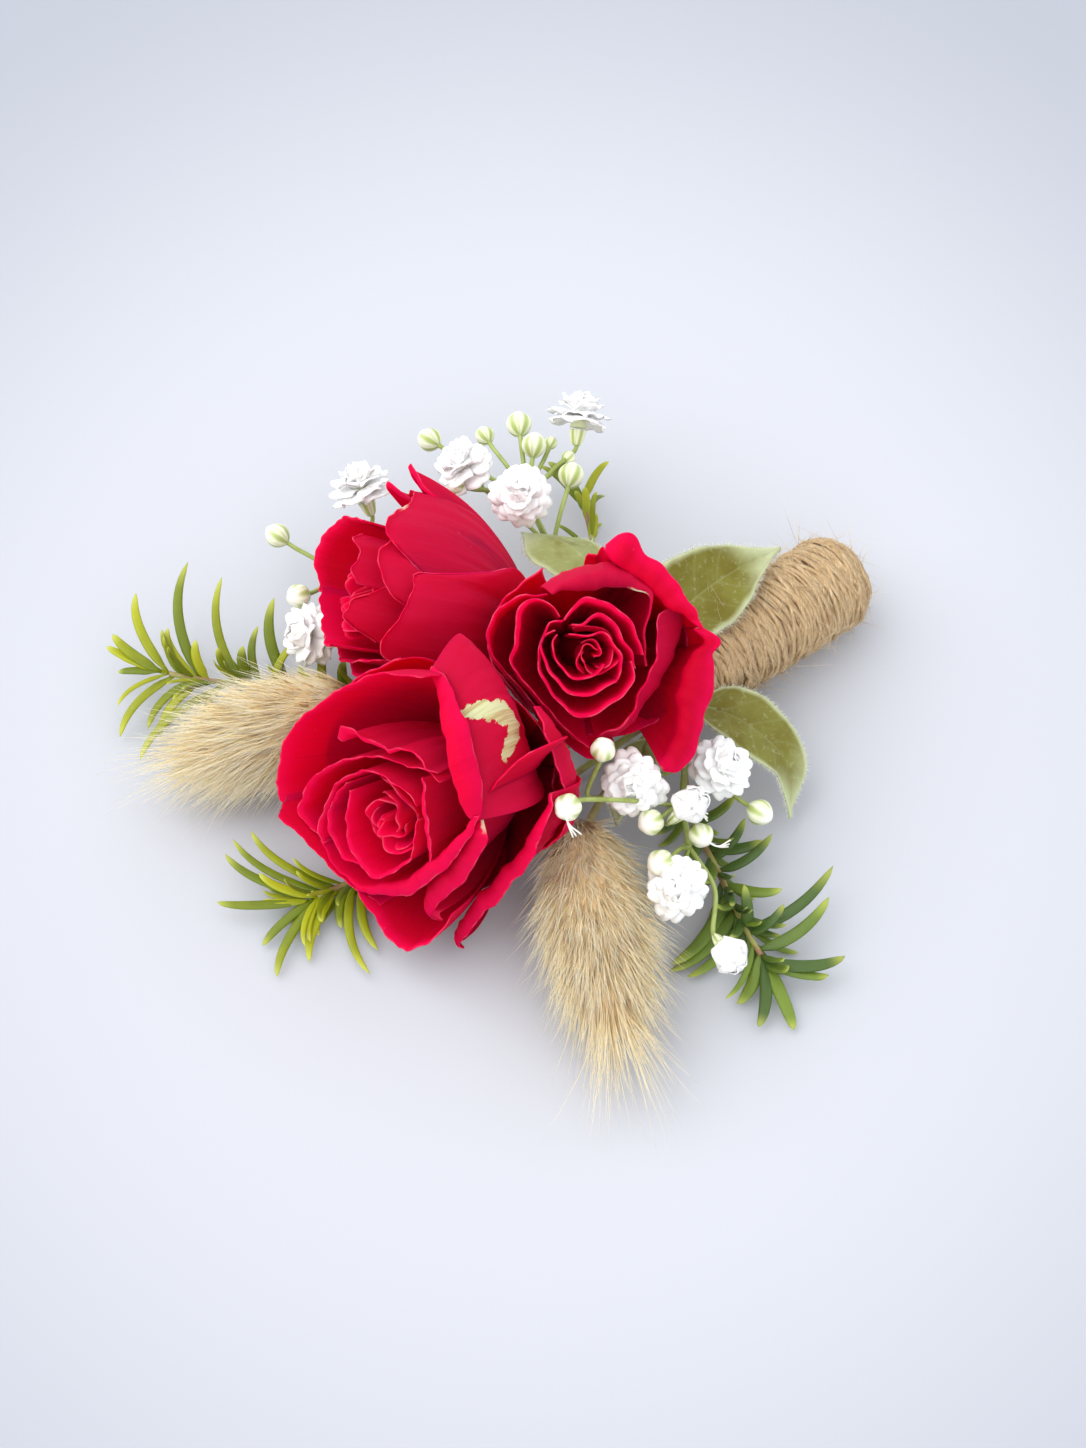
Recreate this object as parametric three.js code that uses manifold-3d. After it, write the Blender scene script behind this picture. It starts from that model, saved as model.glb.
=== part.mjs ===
// A boutonniere laid on a table: three red roses, two bunny-tail grass heads, rosemary, baby's breath
// and downy leaves, whose stems run side by side into a handle wound with jute twine.
// Millimetres, +Z up. The handle points along +X and the flowers along -X. The binding point, where the
// stems leave the twine, is the working origin, and the last lines move the table spot under the middle
// of the whole thing to 0, 0, 0.
import * as THREE from "three";
import { mergeVertices } from "three/addons/utils/BufferGeometryUtils.js";
import Module from "manifold-3d";

const wasm = await Module();
wasm.setup();

const at = (x, y, z) => new THREE.Vector3(x, y, z);
const rad = THREE.MathUtils.degToRad;
const smooth = THREE.MathUtils.smoothstep;

// Driving dimensions

const CLEARANCE = 0.35; // between pieces that touch on the real thing
const HANDLE = {
  length: 35, // from the mouth to the wound end
  mouthHeight: 10.4, // of the axis above the table
  mouthRadius: 6.5,
  endRadius: 7.1,
  bore: 5.75,
  endWall: 2.4,
  dome: 5, // length of the rounded end
  pitch: 3, // from one turn of twine to the next
  relief: 0.32, // how far a turn stands out
  flat: 0.25, // how deep the spot it rests on is pressed flat
};
const STEM = {
  roseRadius: 1.15,
  roseRing: 1.55, // radius of the ring that the rose stems stand in, inside the handle
  thinRadius: 0.68,
  thinRing: 4.15, // the same for the thin stems
  thinCount: 13,
  endGap: 0.6, // from the stems' ends to the wall that closes the handle
  straight: 12, // from the mouth, the last point of the straight part inside the handle
  outside: -2.5, // and the first point outside it
};
const HIP = { length: 5.4, swollenAt: 2.2, radii: [1.2, 2.5, 1.9] }; // under a rose's petals
const SEPAL = { count: 5, ring: [1.6, 3.1, 3.3], height: [-2.2, -4.2, -8.6], halfTurn: [0.6, 0.42, 0.12] };
const TUFT = { count: 46, radius: 1, length: 8, uneven: 2, longerAtTip: 3, turn: 137.5, splay: [34, 12] };
const SPRAY = { stem: 0.65, twig: 0.45, neck: 3, cup: [0.6, 1.35], cupDepth: 2.4 };
const BLADE = { petal: 0.7, leaf: 0.7, floret: 0.62 }; // thicknesses

// Colours

const finish = (color, roughness) => new THREE.MeshStandardMaterial({ color, roughness, metalness: 0 });
const ROSE_RED = finish(0xb8052a, 0.55);
const ROSE_GREEN = finish(0x6d8440, 0.6);
const TAIL_CREAM = finish(0xe6c9a0, 0.9);
const STRAW = finish(0xa89a5e, 0.7);
const ROSEMARY_GREEN = finish(0x7a9a34, 0.5);
const BREATH_GREEN = finish(0x93a556, 0.55);
const BREATH_WHITE = finish(0xf4f1e8, 0.6);
const DOWNY_GREEN = finish(0x8c9c50, 0.8);
const JUTE = finish(0xc29a66, 0.95);

// Solids from meshes and back

function toSolid(geometry) {
  const bare = geometry.index ? geometry.toNonIndexed() : geometry.clone();
  bare.deleteAttribute("normal");
  bare.deleteAttribute("uv");
  const merged = mergeVertices(bare, 1e-4);
  return new wasm.Manifold(
    new wasm.Mesh({
      numProp: 3,
      vertProperties: merged.attributes.position.array,
      triVerts: new Uint32Array(merged.index.array),
    }),
  );
}

function toGeometry(solid) {
  const mesh = solid.getMesh();
  return new THREE.BufferGeometry()
    .setAttribute("position", new THREE.BufferAttribute(mesh.vertProperties, 3))
    .setIndex(new THREE.BufferAttribute(mesh.triVerts, 1));
}

// One solid out of pieces that are sunk into each other. A scrap that touches none of them is dropped.
function fuse(pieces) {
  const joined = pieces.map(toSolid).reduce((a, b) => a.add(b));
  const bodies = joined.decompose();
  return bodies.reduce((a, b) => (a.volume() > b.volume() ? a : b));
}

function facets(points, triangles) {
  const flat = new Float32Array(points.flatMap((p) => [p.x, p.y, p.z]));
  return new THREE.BufferGeometry()
    .setAttribute("position", new THREE.BufferAttribute(flat, 3))
    .setIndex(triangles.flat());
}

// A closed skin over rings of points, with a flat or pointed cap at each end. Rings turn anticlockwise
// as seen from the far end.
function loft(rings) {
  const n = rings[0].length;
  const points = rings.flat();
  const triangles = [];
  for (let i = 0; i < rings.length - 1; i++)
    for (let j = 0; j < n; j++) {
      const [a, b] = [i * n + j, i * n + ((j + 1) % n)];
      triangles.push([a, b, a + n], [b, b + n, a + n]);
    }
  const [near, far] = [0, (rings.length - 1) * n];
  for (let j = 1; j < n - 1; j++) {
    triangles.push([near, near + j + 1, near + j], [far, far + j, far + j + 1]);
  }
  return facets(points, triangles);
}

// A sheet given by a grid of points, made into a blade of even thickness. Both faces are split alike.
function blade(grid, thickness) {
  const [rows, columns] = [grid.length, grid[0].length];
  const clampTo = (v, top) => Math.min(Math.max(v, 0), top);
  const pick = (i, j) => grid[clampTo(i, rows - 1)][clampTo(j, columns - 1)];
  const faces = [[], []];
  for (let i = 0; i < rows; i++)
    for (let j = 0; j < columns; j++) {
      const along = pick(i + 1, j).clone().sub(pick(i - 1, j));
      const across = pick(i, j + 1).clone().sub(pick(i, j - 1));
      const normal = across.cross(along).normalize();
      faces[0].push(pick(i, j).clone().addScaledVector(normal, thickness / 2));
      faces[1].push(pick(i, j).clone().addScaledVector(normal, -thickness / 2));
    }
  const back = rows * columns;
  const triangles = [];
  for (let i = 0; i < rows - 1; i++)
    for (let j = 0; j < columns - 1; j++) {
      const [a, c] = [i * columns + j, (i + 1) * columns + j];
      const [b, d] = [a + 1, c + 1];
      triangles.push([a, b, c], [b, d, c], [a + back, c + back, b + back], [b + back, c + back, d + back]);
    }
  const rim = [];
  for (let j = 0; j < columns - 1; j++) rim.push(j);
  for (let i = 0; i < rows - 1; i++) rim.push(i * columns + columns - 1);
  for (let j = columns - 1; j > 0; j--) rim.push((rows - 1) * columns + j);
  for (let i = rows - 1; i > 0; i--) rim.push(i * columns);
  rim.forEach((a, k) => {
    const b = rim[(k + 1) % rim.length];
    triangles.push([a, a + back, b], [b, a + back, b + back]);
  });
  return facets(faces.flat(), triangles);
}

// A round stalk along a smooth curve through the given points
function stalk(points, radius, sides, steps, tipShare = 1) {
  const curve = new THREE.CatmullRomCurve3(points, false, "centripetal");
  const frames = curve.computeFrenetFrames(steps, false);
  const rings = [];
  for (let i = 0; i <= steps; i++) {
    const centre = curve.getPointAt(i / steps);
    const r = radius * (1 + (tipShare - 1) * (i / steps));
    const ring = [];
    for (let k = 0; k < sides; k++) {
      const turn = (2 * Math.PI * k) / sides;
      ring.push(
        centre.clone()
          .addScaledVector(frames.normals[i], r * Math.cos(turn))
          .addScaledVector(frames.binormals[i], r * Math.sin(turn)),
      );
    }
    rings.push(ring);
  }
  return loft(rings);
}

// An egg or cup shape round an axis: profile is a list of [height, radius]
function turned(base, axis, profile, sides) {
  const side = sideways(axis);
  const other = axis.clone().cross(side);
  const rings = profile.map(([height, radius]) =>
    Array.from({ length: sides }, (_, k) => {
      const turn = (2 * Math.PI * k) / sides;
      return base.clone()
        .addScaledVector(axis, height)
        .addScaledVector(side, radius * Math.cos(turn))
        .addScaledVector(other, radius * Math.sin(turn));
    }),
  );
  return loft(rings);
}

// The direction square to an axis that points most nearly upwards
function sideways(axis) {
  const upward = Math.abs(axis.z) > 0.98 ? at(1, 0, 0) : at(0, 0, 1);
  return upward.addScaledVector(axis, -upward.dot(axis)).normalize();
}

// Repeatable draws between 0 and 1
function draws(seed) {
  let state = seed;
  return () => {
    state = (state * 16807) % 2147483647;
    return state / 2147483647;
  };
}

// A point that comes within reach of a plane slows down and never crosses it, as a petal pressed
// against its neighbour does.
function pressed(point, planes) {
  for (const { normal, offset, reach } of planes) {
    const distance = point.dot(normal) - offset;
    if (distance < reach) {
      point.addScaledVector(normal, reach * Math.exp(distance / reach - 1) - distance);
    }
  }
  return point;
}

// Planes along which neighbours press on each other
const plane = (x, y, z, offset, reach) => {
  const size = Math.hypot(x, y, z);
  return { normal: at(x, y, z).divideScalar(size), offset: offset / size, reach };
};
const PRESS = 0.6; // half a petal and half the gap, on either side of such a plane
const above = ([x, y, z], offset, reach = 2.5) => plane(x, y, z, offset + PRESS, reach);
const below = ([x, y, z], offset, reach = 2.5) => plane(-x, -y, -z, -offset + PRESS, reach);
const FRONT_UPPER = [[0.99, 0.05, 0.1], -26.8];
const BACK_UPPER = [[0.3, -0.92, 0.26], -15.2];
const FRONT_BACK = [[0.34, 0.9, -0.27], -0.7];
const FRONT_UNDERSIDE = [[0.157, -0.27, 1], -3.2];
const BACK_UNDERSIDE = [[0.378, -0.158, 1], -6.5];
const UPPER_UNDERSIDE = [[0, 0, 1], 19];
const TAIL_AND_ROSEMARY = [[0.49, 0.87, 0], 14.2];
const TABLE = [[0, 0, 1], 0];

// Handle of wound twine

const domeStart = HANDLE.length - HANDLE.dome;
const boreEnd = HANDLE.length - HANDLE.endWall;
const handleTilt = Math.asin((HANDLE.mouthHeight - HANDLE.endRadius + HANDLE.flat) / domeStart);
const alongHandle = at(Math.cos(handleTilt), 0, -Math.sin(handleTilt));
const mouth = at(0, 0, HANDLE.mouthHeight);

function inHandle(along, aside, up) {
  return mouth.clone()
    .addScaledVector(alongHandle, along)
    .add(at(Math.sin(handleTilt) * up, aside, Math.cos(handleTilt) * up));
}

// The wound surface swells towards the end and closes in a dome. Each turn stands out as a ridge of
// a helix: the ridge moves one pitch along for each turn round.
function twineWrap() {
  const [sides, perTurn] = [12, 3];
  const rows = Math.round((domeStart / HANDLE.pitch) * perTurn);
  const ringAt = (along, radius, relief) =>
    Array.from({ length: sides }, (_, k) => {
      const turn = (2 * Math.PI * k) / sides;
      const ridge = relief * Math.cos(2 * Math.PI * (along / HANDLE.pitch) - turn);
      return inHandle(along, (radius + ridge) * Math.cos(turn), (radius + ridge) * Math.sin(turn));
    });
  const rings = [];
  for (let i = 0; i <= rows; i++) {
    const along = (domeStart * i) / rows;
    const swell = smooth(along, 0, domeStart);
    const radius = THREE.MathUtils.lerp(HANDLE.mouthRadius, HANDLE.endRadius, swell);
    rings.push(ringAt(along, radius, HANDLE.relief));
  }
  for (const [along, share] of [[0.4, 0.93], [0.76, 0.72], [0.96, 0.4], [1, 0.14]]) {
    rings.push(ringAt(domeStart + HANDLE.dome * along, HANDLE.endRadius * share, HANDLE.relief * share));
  }
  const boreRing = (along) =>
    Array.from({ length: sides }, (_, k) => {
      const turn = (2 * Math.PI * k) / sides;
      return inHandle(along, HANDLE.bore * Math.cos(turn), HANDLE.bore * Math.sin(turn));
    });
  const bore = loft([boreRing(-HANDLE.dome), boreRing(boreEnd)]);
  const [reach, depth] = [4 * HANDLE.length, HANDLE.endRadius];
  const table = new THREE.BoxGeometry(reach, reach, depth).translate(0, 0, -depth / 2);
  return toSolid(loft(rings)).subtract(toSolid(bore)).subtract(toSolid(table));
}

// The first points of a stem, which lies straight inside the handle: rose stems in a triangle at the
// heart, thin ones in a ring round them
function slotPoints(turn, ring) {
  return [boreEnd - STEM.endGap, STEM.straight, STEM.outside].map((along) =>
    inHandle(along, ring * Math.cos(turn), ring * Math.sin(turn)),
  );
}
const roseSlot = (turnDegrees) => slotPoints(rad(turnDegrees), STEM.roseRing);
const thinSlot = (index) => slotPoints(rad(90) - (2 * Math.PI * index) / STEM.thinCount, STEM.thinRing);

// Roses

// A petal as a grid of points in its rose's own frame, where +Z is the way the rose faces and turn 0
// is its top side. Its rim runs from one turn to another at a radius and a height that are given at
// its two corners and its middle. From the heel to the rim the petal swells like a cup, the more so
// the larger its belly, and a roll bends the rim over outwards by an angle, over a length.
function petalGrid(petal) {
  const { from, to, radius, height, belly = 0.8, roll = 0, rollLength = 3, corner = 0.16, wave = 0 } = petal;
  const columns = Math.max(3, Math.round((to - from) / 34));
  const bodyRows = 3;
  const rollRows = roll > 0 ? 2 : 0;
  const grid = Array.from({ length: bodyRows + rollRows + 1 }, () => []);
  for (let j = 0; j <= columns; j++) {
    const s = (2 * j) / columns - 1;
    const turn = rad(from + ((to - from) * j) / columns);
    const between = ([a, middle, b]) => middle + ((b - a) / 2) * s + ((a + b) / 2 - middle) * s * s;
    const rimRadius = between(radius) + wave * Math.sin(4 * turn + radius[1]);
    const rimHeight = between(height) * (1 - corner * s ** 4);
    let [r, h] = [0, 0];
    for (let i = 0; i <= bodyRows; i++) {
      const t = i / bodyRows;
      const cup = (1 - (1 - t) ** 2.4) ** 0.8;
      r = rimRadius * (t ** 0.9 * (1 - belly) + cup * belly);
      h = rimHeight * t;
      grid[i].push(at(r * Math.cos(turn), r * Math.sin(turn), h));
    }
    for (let i = 1; i <= rollRows; i++) {
      const angle = rad(roll * (i - 0.5)) / rollRows;
      r += (Math.sin(angle) * rollLength) / rollRows;
      h += (Math.cos(angle) * rollLength) / rollRows;
      grid[bodyRows + i].push(at(r * Math.cos(turn), r * Math.sin(turn), h));
    }
  }
  return grid;
}

// The frame of a rose: the way it faces, its top side and its left side
function roseFrame(rose) {
  const axis = rose.faces.clone().normalize();
  const top = sideways(axis);
  return new THREE.Matrix4().makeBasis(top, axis.clone().cross(top), axis).setPosition(rose.base);
}

// The tight heart of a rose: petals wound round each other so closely that here they are one scroll,
// with a wave along its rim for each petal's edge. Given as a grid like a petal's.
function heartScroll({ height, outer, windings, firstTurn }) {
  const columns = Math.round(windings * 7);
  return [0.3, 0.65, 1].map((t) =>
    Array.from({ length: columns + 1 }, (_, j) => {
      const share = j / columns;
      const turn = rad(firstTurn) + 2 * Math.PI * windings * share;
      const radius = (0.9 + (outer - 0.9) * share) * (0.7 + 0.3 * smooth(t, 0.3, 0.7));
      const rise = height * t * (1 - 0.04 * share + 0.03 * Math.sin(2.6 * turn));
      return at(radius * Math.cos(turn), radius * Math.sin(turn), rise);
    }),
  );
}

// Every petal of a bloom as a grid in the design's own space, before its neighbours press on it
function bloomGrids(rose) {
  const frame = roseFrame(rose);
  return [heartScroll(rose.heart), ...rose.petals.map(petalGrid)].map((grid) =>
    grid.map((row) => row.map((p) => p.applyMatrix4(frame))),
  );
}

const CORE_DEPTH = 0.6; // how far a bloom's core reaches below its base

// A bloom's petals rise from a small closed core, which swallows their crowded feet.
function roseBloom(rose) {
  const blades = bloomGrids(rose).map((grid) =>
    blade(grid.map((row) => row.map((p) => pressed(p, rose.neighbours))), BLADE.petal),
  );
  const [wide, tall] = [rose.heart.outer, rose.heart.height];
  const foot = [-CORE_DEPTH, 1.5];
  const profile = [foot, [0.08 * tall, 0.8 * wide], [0.32 * tall, 1.2 * wide], [0.7 * tall, 0.4 * wide]];
  const core = turned(rose.base, rose.faces.clone().normalize(), profile, 7);
  return fuse([core, ...blades]);
}

// The stem, the swollen hip under the petals and five narrow sepals that have folded back
function roseStem(rose, turnDegrees) {
  const axis = rose.faces.clone().normalize();
  const hipBase = rose.base.clone().addScaledVector(axis, -HIP.length);
  const hipHeights = [0, HIP.swollenAt, HIP.length - CORE_DEPTH - CLEARANCE];
  const hip = turned(hipBase, axis, hipHeights.map((height, i) => [height, HIP.radii[i]]), 6);
  const insideHip = hipBase.clone().addScaledVector(axis, 0.7 * HIP.swollenAt);
  const path = [...roseSlot(turnDegrees), ...rose.stem, hipBase, insideHip];
  const stem = stalk(path, STEM.roseRadius, 5, 10);
  const frame = roseFrame(rose);
  const sepals = Array.from({ length: SEPAL.count }, (_, k) => {
    const turn = (2 * Math.PI * (k + 0.5)) / SEPAL.count;
    const grid = SEPAL.ring.map((r, i) =>
      [-1, 1].map((s) => {
        const edge = turn + s * SEPAL.halfTurn[i];
        return at(r * Math.cos(edge), r * Math.sin(edge), SEPAL.height[i]).applyMatrix4(frame);
      }),
    );
    return blade(grid, BLADE.leaf);
  });
  return fuse([stem, hip, ...sepals]);
}

const ROSES = {
  front: {
    base: at(-30.5, 4.8, 13.5),
    faces: at(-0.92, -0.018, 0.392),
    stem: [at(-12, 1.6, 9.2), at(-20, 3.6, 9.6)],
    neighbours: [below(...FRONT_UPPER), below(...FRONT_BACK), above(...FRONT_UNDERSIDE)],
    heart: { height: 25.5, outer: 6.6, windings: 2.2, firstTurn: 20 },
    petals: [
      { from: 70, to: 205, radius: [9.5, 14, 12.5], height: [27, 28.5, 26.5], wave: 0.4 },
      { from: 190, to: 300, radius: [10.5, 10.8, 13], height: [26.5, 26.5, 24.5] },
      { from: -50, to: 90, radius: [10.5, 9.5, 11.5], height: [26, 26.5, 26.5], roll: 50, rollLength: 2 },
      {
        from: 232, to: 306, radius: [13, 13.8, 15], height: [22, 20, 20],
        roll: 150, rollLength: 4.5, corner: 0.05,
      },
      { from: 172, to: 236, radius: [17, 20.5, 17], height: [24, 24.5, 22], belly: 0.5 },
      { from: 126, to: 196, radius: [21, 22.5, 15.5], height: [25, 25.5, 24], belly: 0.7 },
      {
        from: -56, to: 12, radius: [16, 17.5, 19.5], height: [20, 20.5, 19], belly: 1.3,
        roll: 140, rollLength: 5, corner: 0.04,
      },
      { from: 8, to: 142, radius: [21.5, 18.5, 21], height: [20.5, 24.5, 25.5], belly: 0.9 },
      {
        from: 212, to: 312, radius: [23, 17.2, 18.5], height: [20, 15, 9],
        roll: 120, rollLength: 3.5, corner: 0,
      },
      { from: -34, to: 60, radius: [20.5, 23, 21.5], height: [12, 15.5, 15], belly: 1.2 },
    ],
  },
  back: {
    base: at(-11.6, 19.6, 11.9),
    faces: at(-0.705, 0.613, 0.356),
    stem: [at(-4, 3, 9.2), at(-5.6, 10, 8.6)],
    neighbours: [above(...FRONT_BACK), below(...BACK_UPPER), above(...BACK_UNDERSIDE)],
    heart: { height: 30.5, outer: 5.5, windings: 1.7, firstTurn: 80 },
    petals: [
      { from: 10, to: 150, radius: [8, 10.5, 10.5], height: [31, 32.5, 31] },
      { from: 130, to: 250, radius: [9, 12, 9.5], height: [30.5, 31.5, 31] },
      { from: 215, to: 350, radius: [11.5, 10.5, 10.5], height: [30.5, 31, 30] },
      { from: -40, to: 62, radius: [13.5, 14, 14], height: [27, 28, 27], roll: 40, rollLength: 2.5 },
      { from: 50, to: 160, radius: [15.5, 16, 15], height: [25.5, 27.5, 26.5], roll: 50, rollLength: 2.5 },
      { from: 140, to: 262, radius: [16.5, 18.5, 14], height: [24.5, 28.5, 26.5], belly: 0.6 },
      { from: 235, to: 350, radius: [17, 16.3, 16.8], height: [25, 24.5, 23.5], roll: 60, rollLength: 2.5 },
      { from: 0, to: 105, radius: [17, 18, 17.5], height: [21.5, 23.5, 22.5], belly: 1, roll: 60 },
      { from: -60, to: 40, radius: [15.5, 17.5, 16.5], height: [15, 16, 14], belly: 1.3 },
    ],
  },
  upper: {
    base: at(-12.3, 10, 19.3),
    faces: at(-0.308, -0.522, 0.796),
    stem: [at(-5, 3, 12.6), at(-9.2, 8.8, 13.8)],
    neighbours: [above(...FRONT_UPPER), above(...BACK_UPPER), above(...UPPER_UNDERSIDE)],
    heart: { height: 19.5, outer: 6, windings: 1.9, firstTurn: 200 },
    petals: [
      { from: 175, to: 296, radius: [11.5, 9, 10.3], height: [19, 20.5, 20] },
      { from: 52, to: 178, radius: [9.5, 11.2, 12.5], height: [20, 19.5, 18], wave: 0.3 },
      {
        from: -72, to: 48, radius: [10.2, 10.5, 9.8], height: [20, 20, 20],
        roll: 120, rollLength: 3.2, corner: 0.08,
      },
      { from: 34, to: 152, radius: [13.5, 14, 15.5], height: [17, 17, 16], wave: 0.4 },
      { from: 148, to: 228, radius: [13.5, 14, 15.5], height: [16, 16, 16], belly: 0.6 },
      {
        from: 200, to: 280, radius: [17.5, 15, 15], height: [15, 17, 17],
        roll: 110, rollLength: 4, corner: 0.05,
      },
      {
        from: -92, to: -6, radius: [15.5, 15, 14.5], height: [17, 17.5, 17],
        roll: 120, rollLength: 4.5, corner: 0.05,
      },
    ],
  },
};

// Bunny-tail grass

// An egg-shaped head whose bristles stand out in spirals and lean towards the tip
function tailHead({ base, tip, radius, seed, neighbours }) {
  const random = draws(seed);
  const axis = tip.clone().sub(base);
  const length = axis.length();
  axis.normalize();
  const thick = (u) => radius * Math.sin(Math.PI * (0.12 + 0.8 * u)) ** 0.7;
  const core = turned(base, axis, [0, 0.12, 0.35, 0.62, 0.84, 1].map((u) => [u * length, thick(u)]), 7);
  const side = sideways(axis);
  const other = axis.clone().cross(side);
  const tufts = [];
  for (let k = 0; k < TUFT.count; k++) {
    const u = 0.05 + (0.93 * (k + 0.5)) / TUFT.count;
    const turn = rad(TUFT.turn * k);
    const out = side.clone().multiplyScalar(Math.cos(turn)).addScaledVector(other, Math.sin(turn));
    const foot = base.clone().addScaledVector(axis, u * length - 1).addScaledVector(out, thick(u) * 0.8);
    const splay = rad(THREE.MathUtils.lerp(...TUFT.splay, u));
    const way = axis.clone().multiplyScalar(Math.cos(splay)).addScaledVector(out, Math.sin(splay));
    const reach = TUFT.length + TUFT.uneven * random() + TUFT.longerAtTip * u;
    const end = foot.clone().addScaledVector(way, reach);
    tufts.push(bristle(foot, pressed(end, neighbours), TUFT.radius));
  }
  return fuse([core, ...tufts]);
}

// A three-sided needle from a foot to a point
function bristle(foot, end, radius) {
  const axis = end.clone().sub(foot).normalize();
  const side = sideways(axis);
  const other = axis.clone().cross(side);
  const ring = [0, 120, 240].map((turn) =>
    foot.clone()
      .addScaledVector(side, radius * Math.cos(rad(turn)))
      .addScaledVector(other, radius * Math.sin(rad(turn))),
  );
  return facets([...ring, end], [[0, 2, 1], [0, 1, 3], [1, 2, 3], [2, 0, 3]]);
}

const TAILS = {
  left: {
    base: at(-39.5, 31.4, 7.8), tip: at(-61, 38.2, 8.2), radius: 6, seed: 11, slot: 6,
    stem: [at(-8, 5, 3.6), at(-20, 14.5, 1.1), at(-31, 24, 2.8)],
    neighbours: [above(...TABLE), below(...TAIL_AND_ROSEMARY)],
  },
  front: {
    base: at(-30.2, -10.2, 8.6), tip: at(-46, -34.6, 8), radius: 6.9, seed: 23, slot: 8,
    stem: [at(-9, -1.2, 4.4), at(-18, -4, 5.4)],
    neighbours: [above(...TABLE)],
  },
};

function tailStem(tail) {
  const axis = tail.tip.clone().sub(tail.base).normalize();
  const path = [...thinSlot(tail.slot), ...tail.stem, tail.base.clone().addScaledVector(axis, -CLEARANCE)];
  return toSolid(stalk(path, STEM.thinRadius, 5, 10, 0.85));
}

// Rosemary

// One narrow leaf with a keel below and a flat top. It bends a little as it goes, and keeps clear of
// its neighbours.
function needleLeaf({ foot, way, bend, length, width, neighbours }) {
  const side = at(0, 0, 1).cross(way).normalize();
  const over = way.clone().cross(side).normalize();
  const rings = [[0, 0.3], [0.5, 1], [1, 0.3]].map(([u, share]) => {
    const centre = foot.clone().addScaledVector(way, u * length).addScaledVector(bend, u * u * length);
    if (u > 0) pressed(centre, neighbours);
    return [
      centre.clone().addScaledVector(side, (-width / 2) * share).addScaledVector(over, 0.3),
      centre.clone().addScaledVector(over, -0.5 * Math.max(share, 0.5)),
      centre.clone().addScaledVector(side, (width / 2) * share).addScaledVector(over, 0.3),
    ];
  });
  return loft(rings);
}

function rosemarySprig({ slot, path, leafFrom, whorls, perWhorl, length, width, spread, seed, neighbours }) {
  const random = draws(seed);
  const points = [...thinSlot(slot), ...path];
  const curve = new THREE.CatmullRomCurve3(points, false, "centripetal");
  const pieces = [stalk(points, STEM.thinRadius, 4, 12, 0.75)];
  for (let w = 0; w < whorls; w++) {
    const u = leafFrom + ((0.985 - leafFrom) * w) / (whorls - 1);
    const along = curve.getTangentAt(u);
    const side = sideways(along);
    const other = along.clone().cross(side);
    for (let k = 0; k < perWhorl; k++) {
      const turn = rad((360 / perWhorl) * k + 53 * w + 30 * random());
      const out = side.clone().multiplyScalar(Math.cos(turn)).addScaledVector(other, Math.sin(turn));
      const opening = rad(spread * (1 - 0.55 * (w / (whorls - 1))) * (0.85 + 0.3 * random()));
      const way = along.clone().multiplyScalar(Math.cos(opening)).addScaledVector(out, Math.sin(opening));
      const bend = along.clone().multiplyScalar(0.12).add(at(0, 0, 0.05)).addScaledVector(out, -0.1);
      const foot = curve.getPointAt(u).addScaledVector(out, 0.25);
      const grown = length * (0.75 + 0.4 * random());
      pieces.push(needleLeaf({ foot, way, bend, length: grown, width, neighbours }));
    }
  }
  return fuse(pieces);
}

const ROSEMARY = {
  left: {
    slot: 5, leafFrom: 0.6, whorls: 7, perWhorl: 3, length: 15, width: 2, spread: 72, seed: 5,
    path: [
      at(-7, 7, 4.4), at(-18, 17.5, 1.2), at(-30, 31, 1.2),
      at(-41, 43, 2.6), at(-50, 50, 4.5), at(-56, 56, 6.5),
    ],
    neighbours: [above(...TABLE, 1), below(...BACK_UNDERSIDE, 1), above(...TAIL_AND_ROSEMARY, 1)],
  },
  low: {
    slot: 7, leafFrom: 0.8, whorls: 5, perWhorl: 4, length: 14, width: 2, spread: 72, seed: 9,
    path: [at(-9, 1.6, 2.6), at(-22, 3, 1), at(-40, 6, 1), at(-56, 10, 1.8), at(-64, 11.5, 2.6)],
    neighbours: [above(...TABLE, 1), below(...FRONT_UNDERSIDE, 1)],
  },
  right: {
    slot: 9, leafFrom: 0.52, whorls: 7, perWhorl: 3, length: 11, width: 2.4, spread: 66, seed: 14,
    path: [at(-6, -6.5, 5.2), at(-12, -15, 2.4), at(-16.5, -26, 2.6), at(-20.5, -36, 3), at(-22, -41, 3.4)],
    neighbours: [above(...TABLE, 1), below([0, 0, 1], 9, 1)],
  },
  top: {
    slot: 3, leafFrom: 0.66, whorls: 4, perWhorl: 2, length: 10, width: 1.8, spread: 50, seed: 31,
    path: [at(-2.6, 8, 9), at(3, 19, 5.5), at(9, 29, 4), at(14.5, 38, 5)],
    neighbours: [above(...TABLE, 1), below([0, 0, 1], 8.5, 1)],
  },
};

// Baby's breath

const bud = (centre, axis, radius) =>
  turned(
    centre.clone().addScaledVector(axis, -radius),
    axis,
    [[0, 0.35 * radius], [0.8 * radius, radius], [1.9 * radius, 0.4 * radius]],
    5,
  );

const cup = (rim, axis) =>
  turned(
    rim.clone().addScaledVector(axis, -SPRAY.cupDepth),
    axis,
    [[0, SPRAY.cup[0]], [SPRAY.cupDepth, SPRAY.cup[1]]],
    5,
  );

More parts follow.
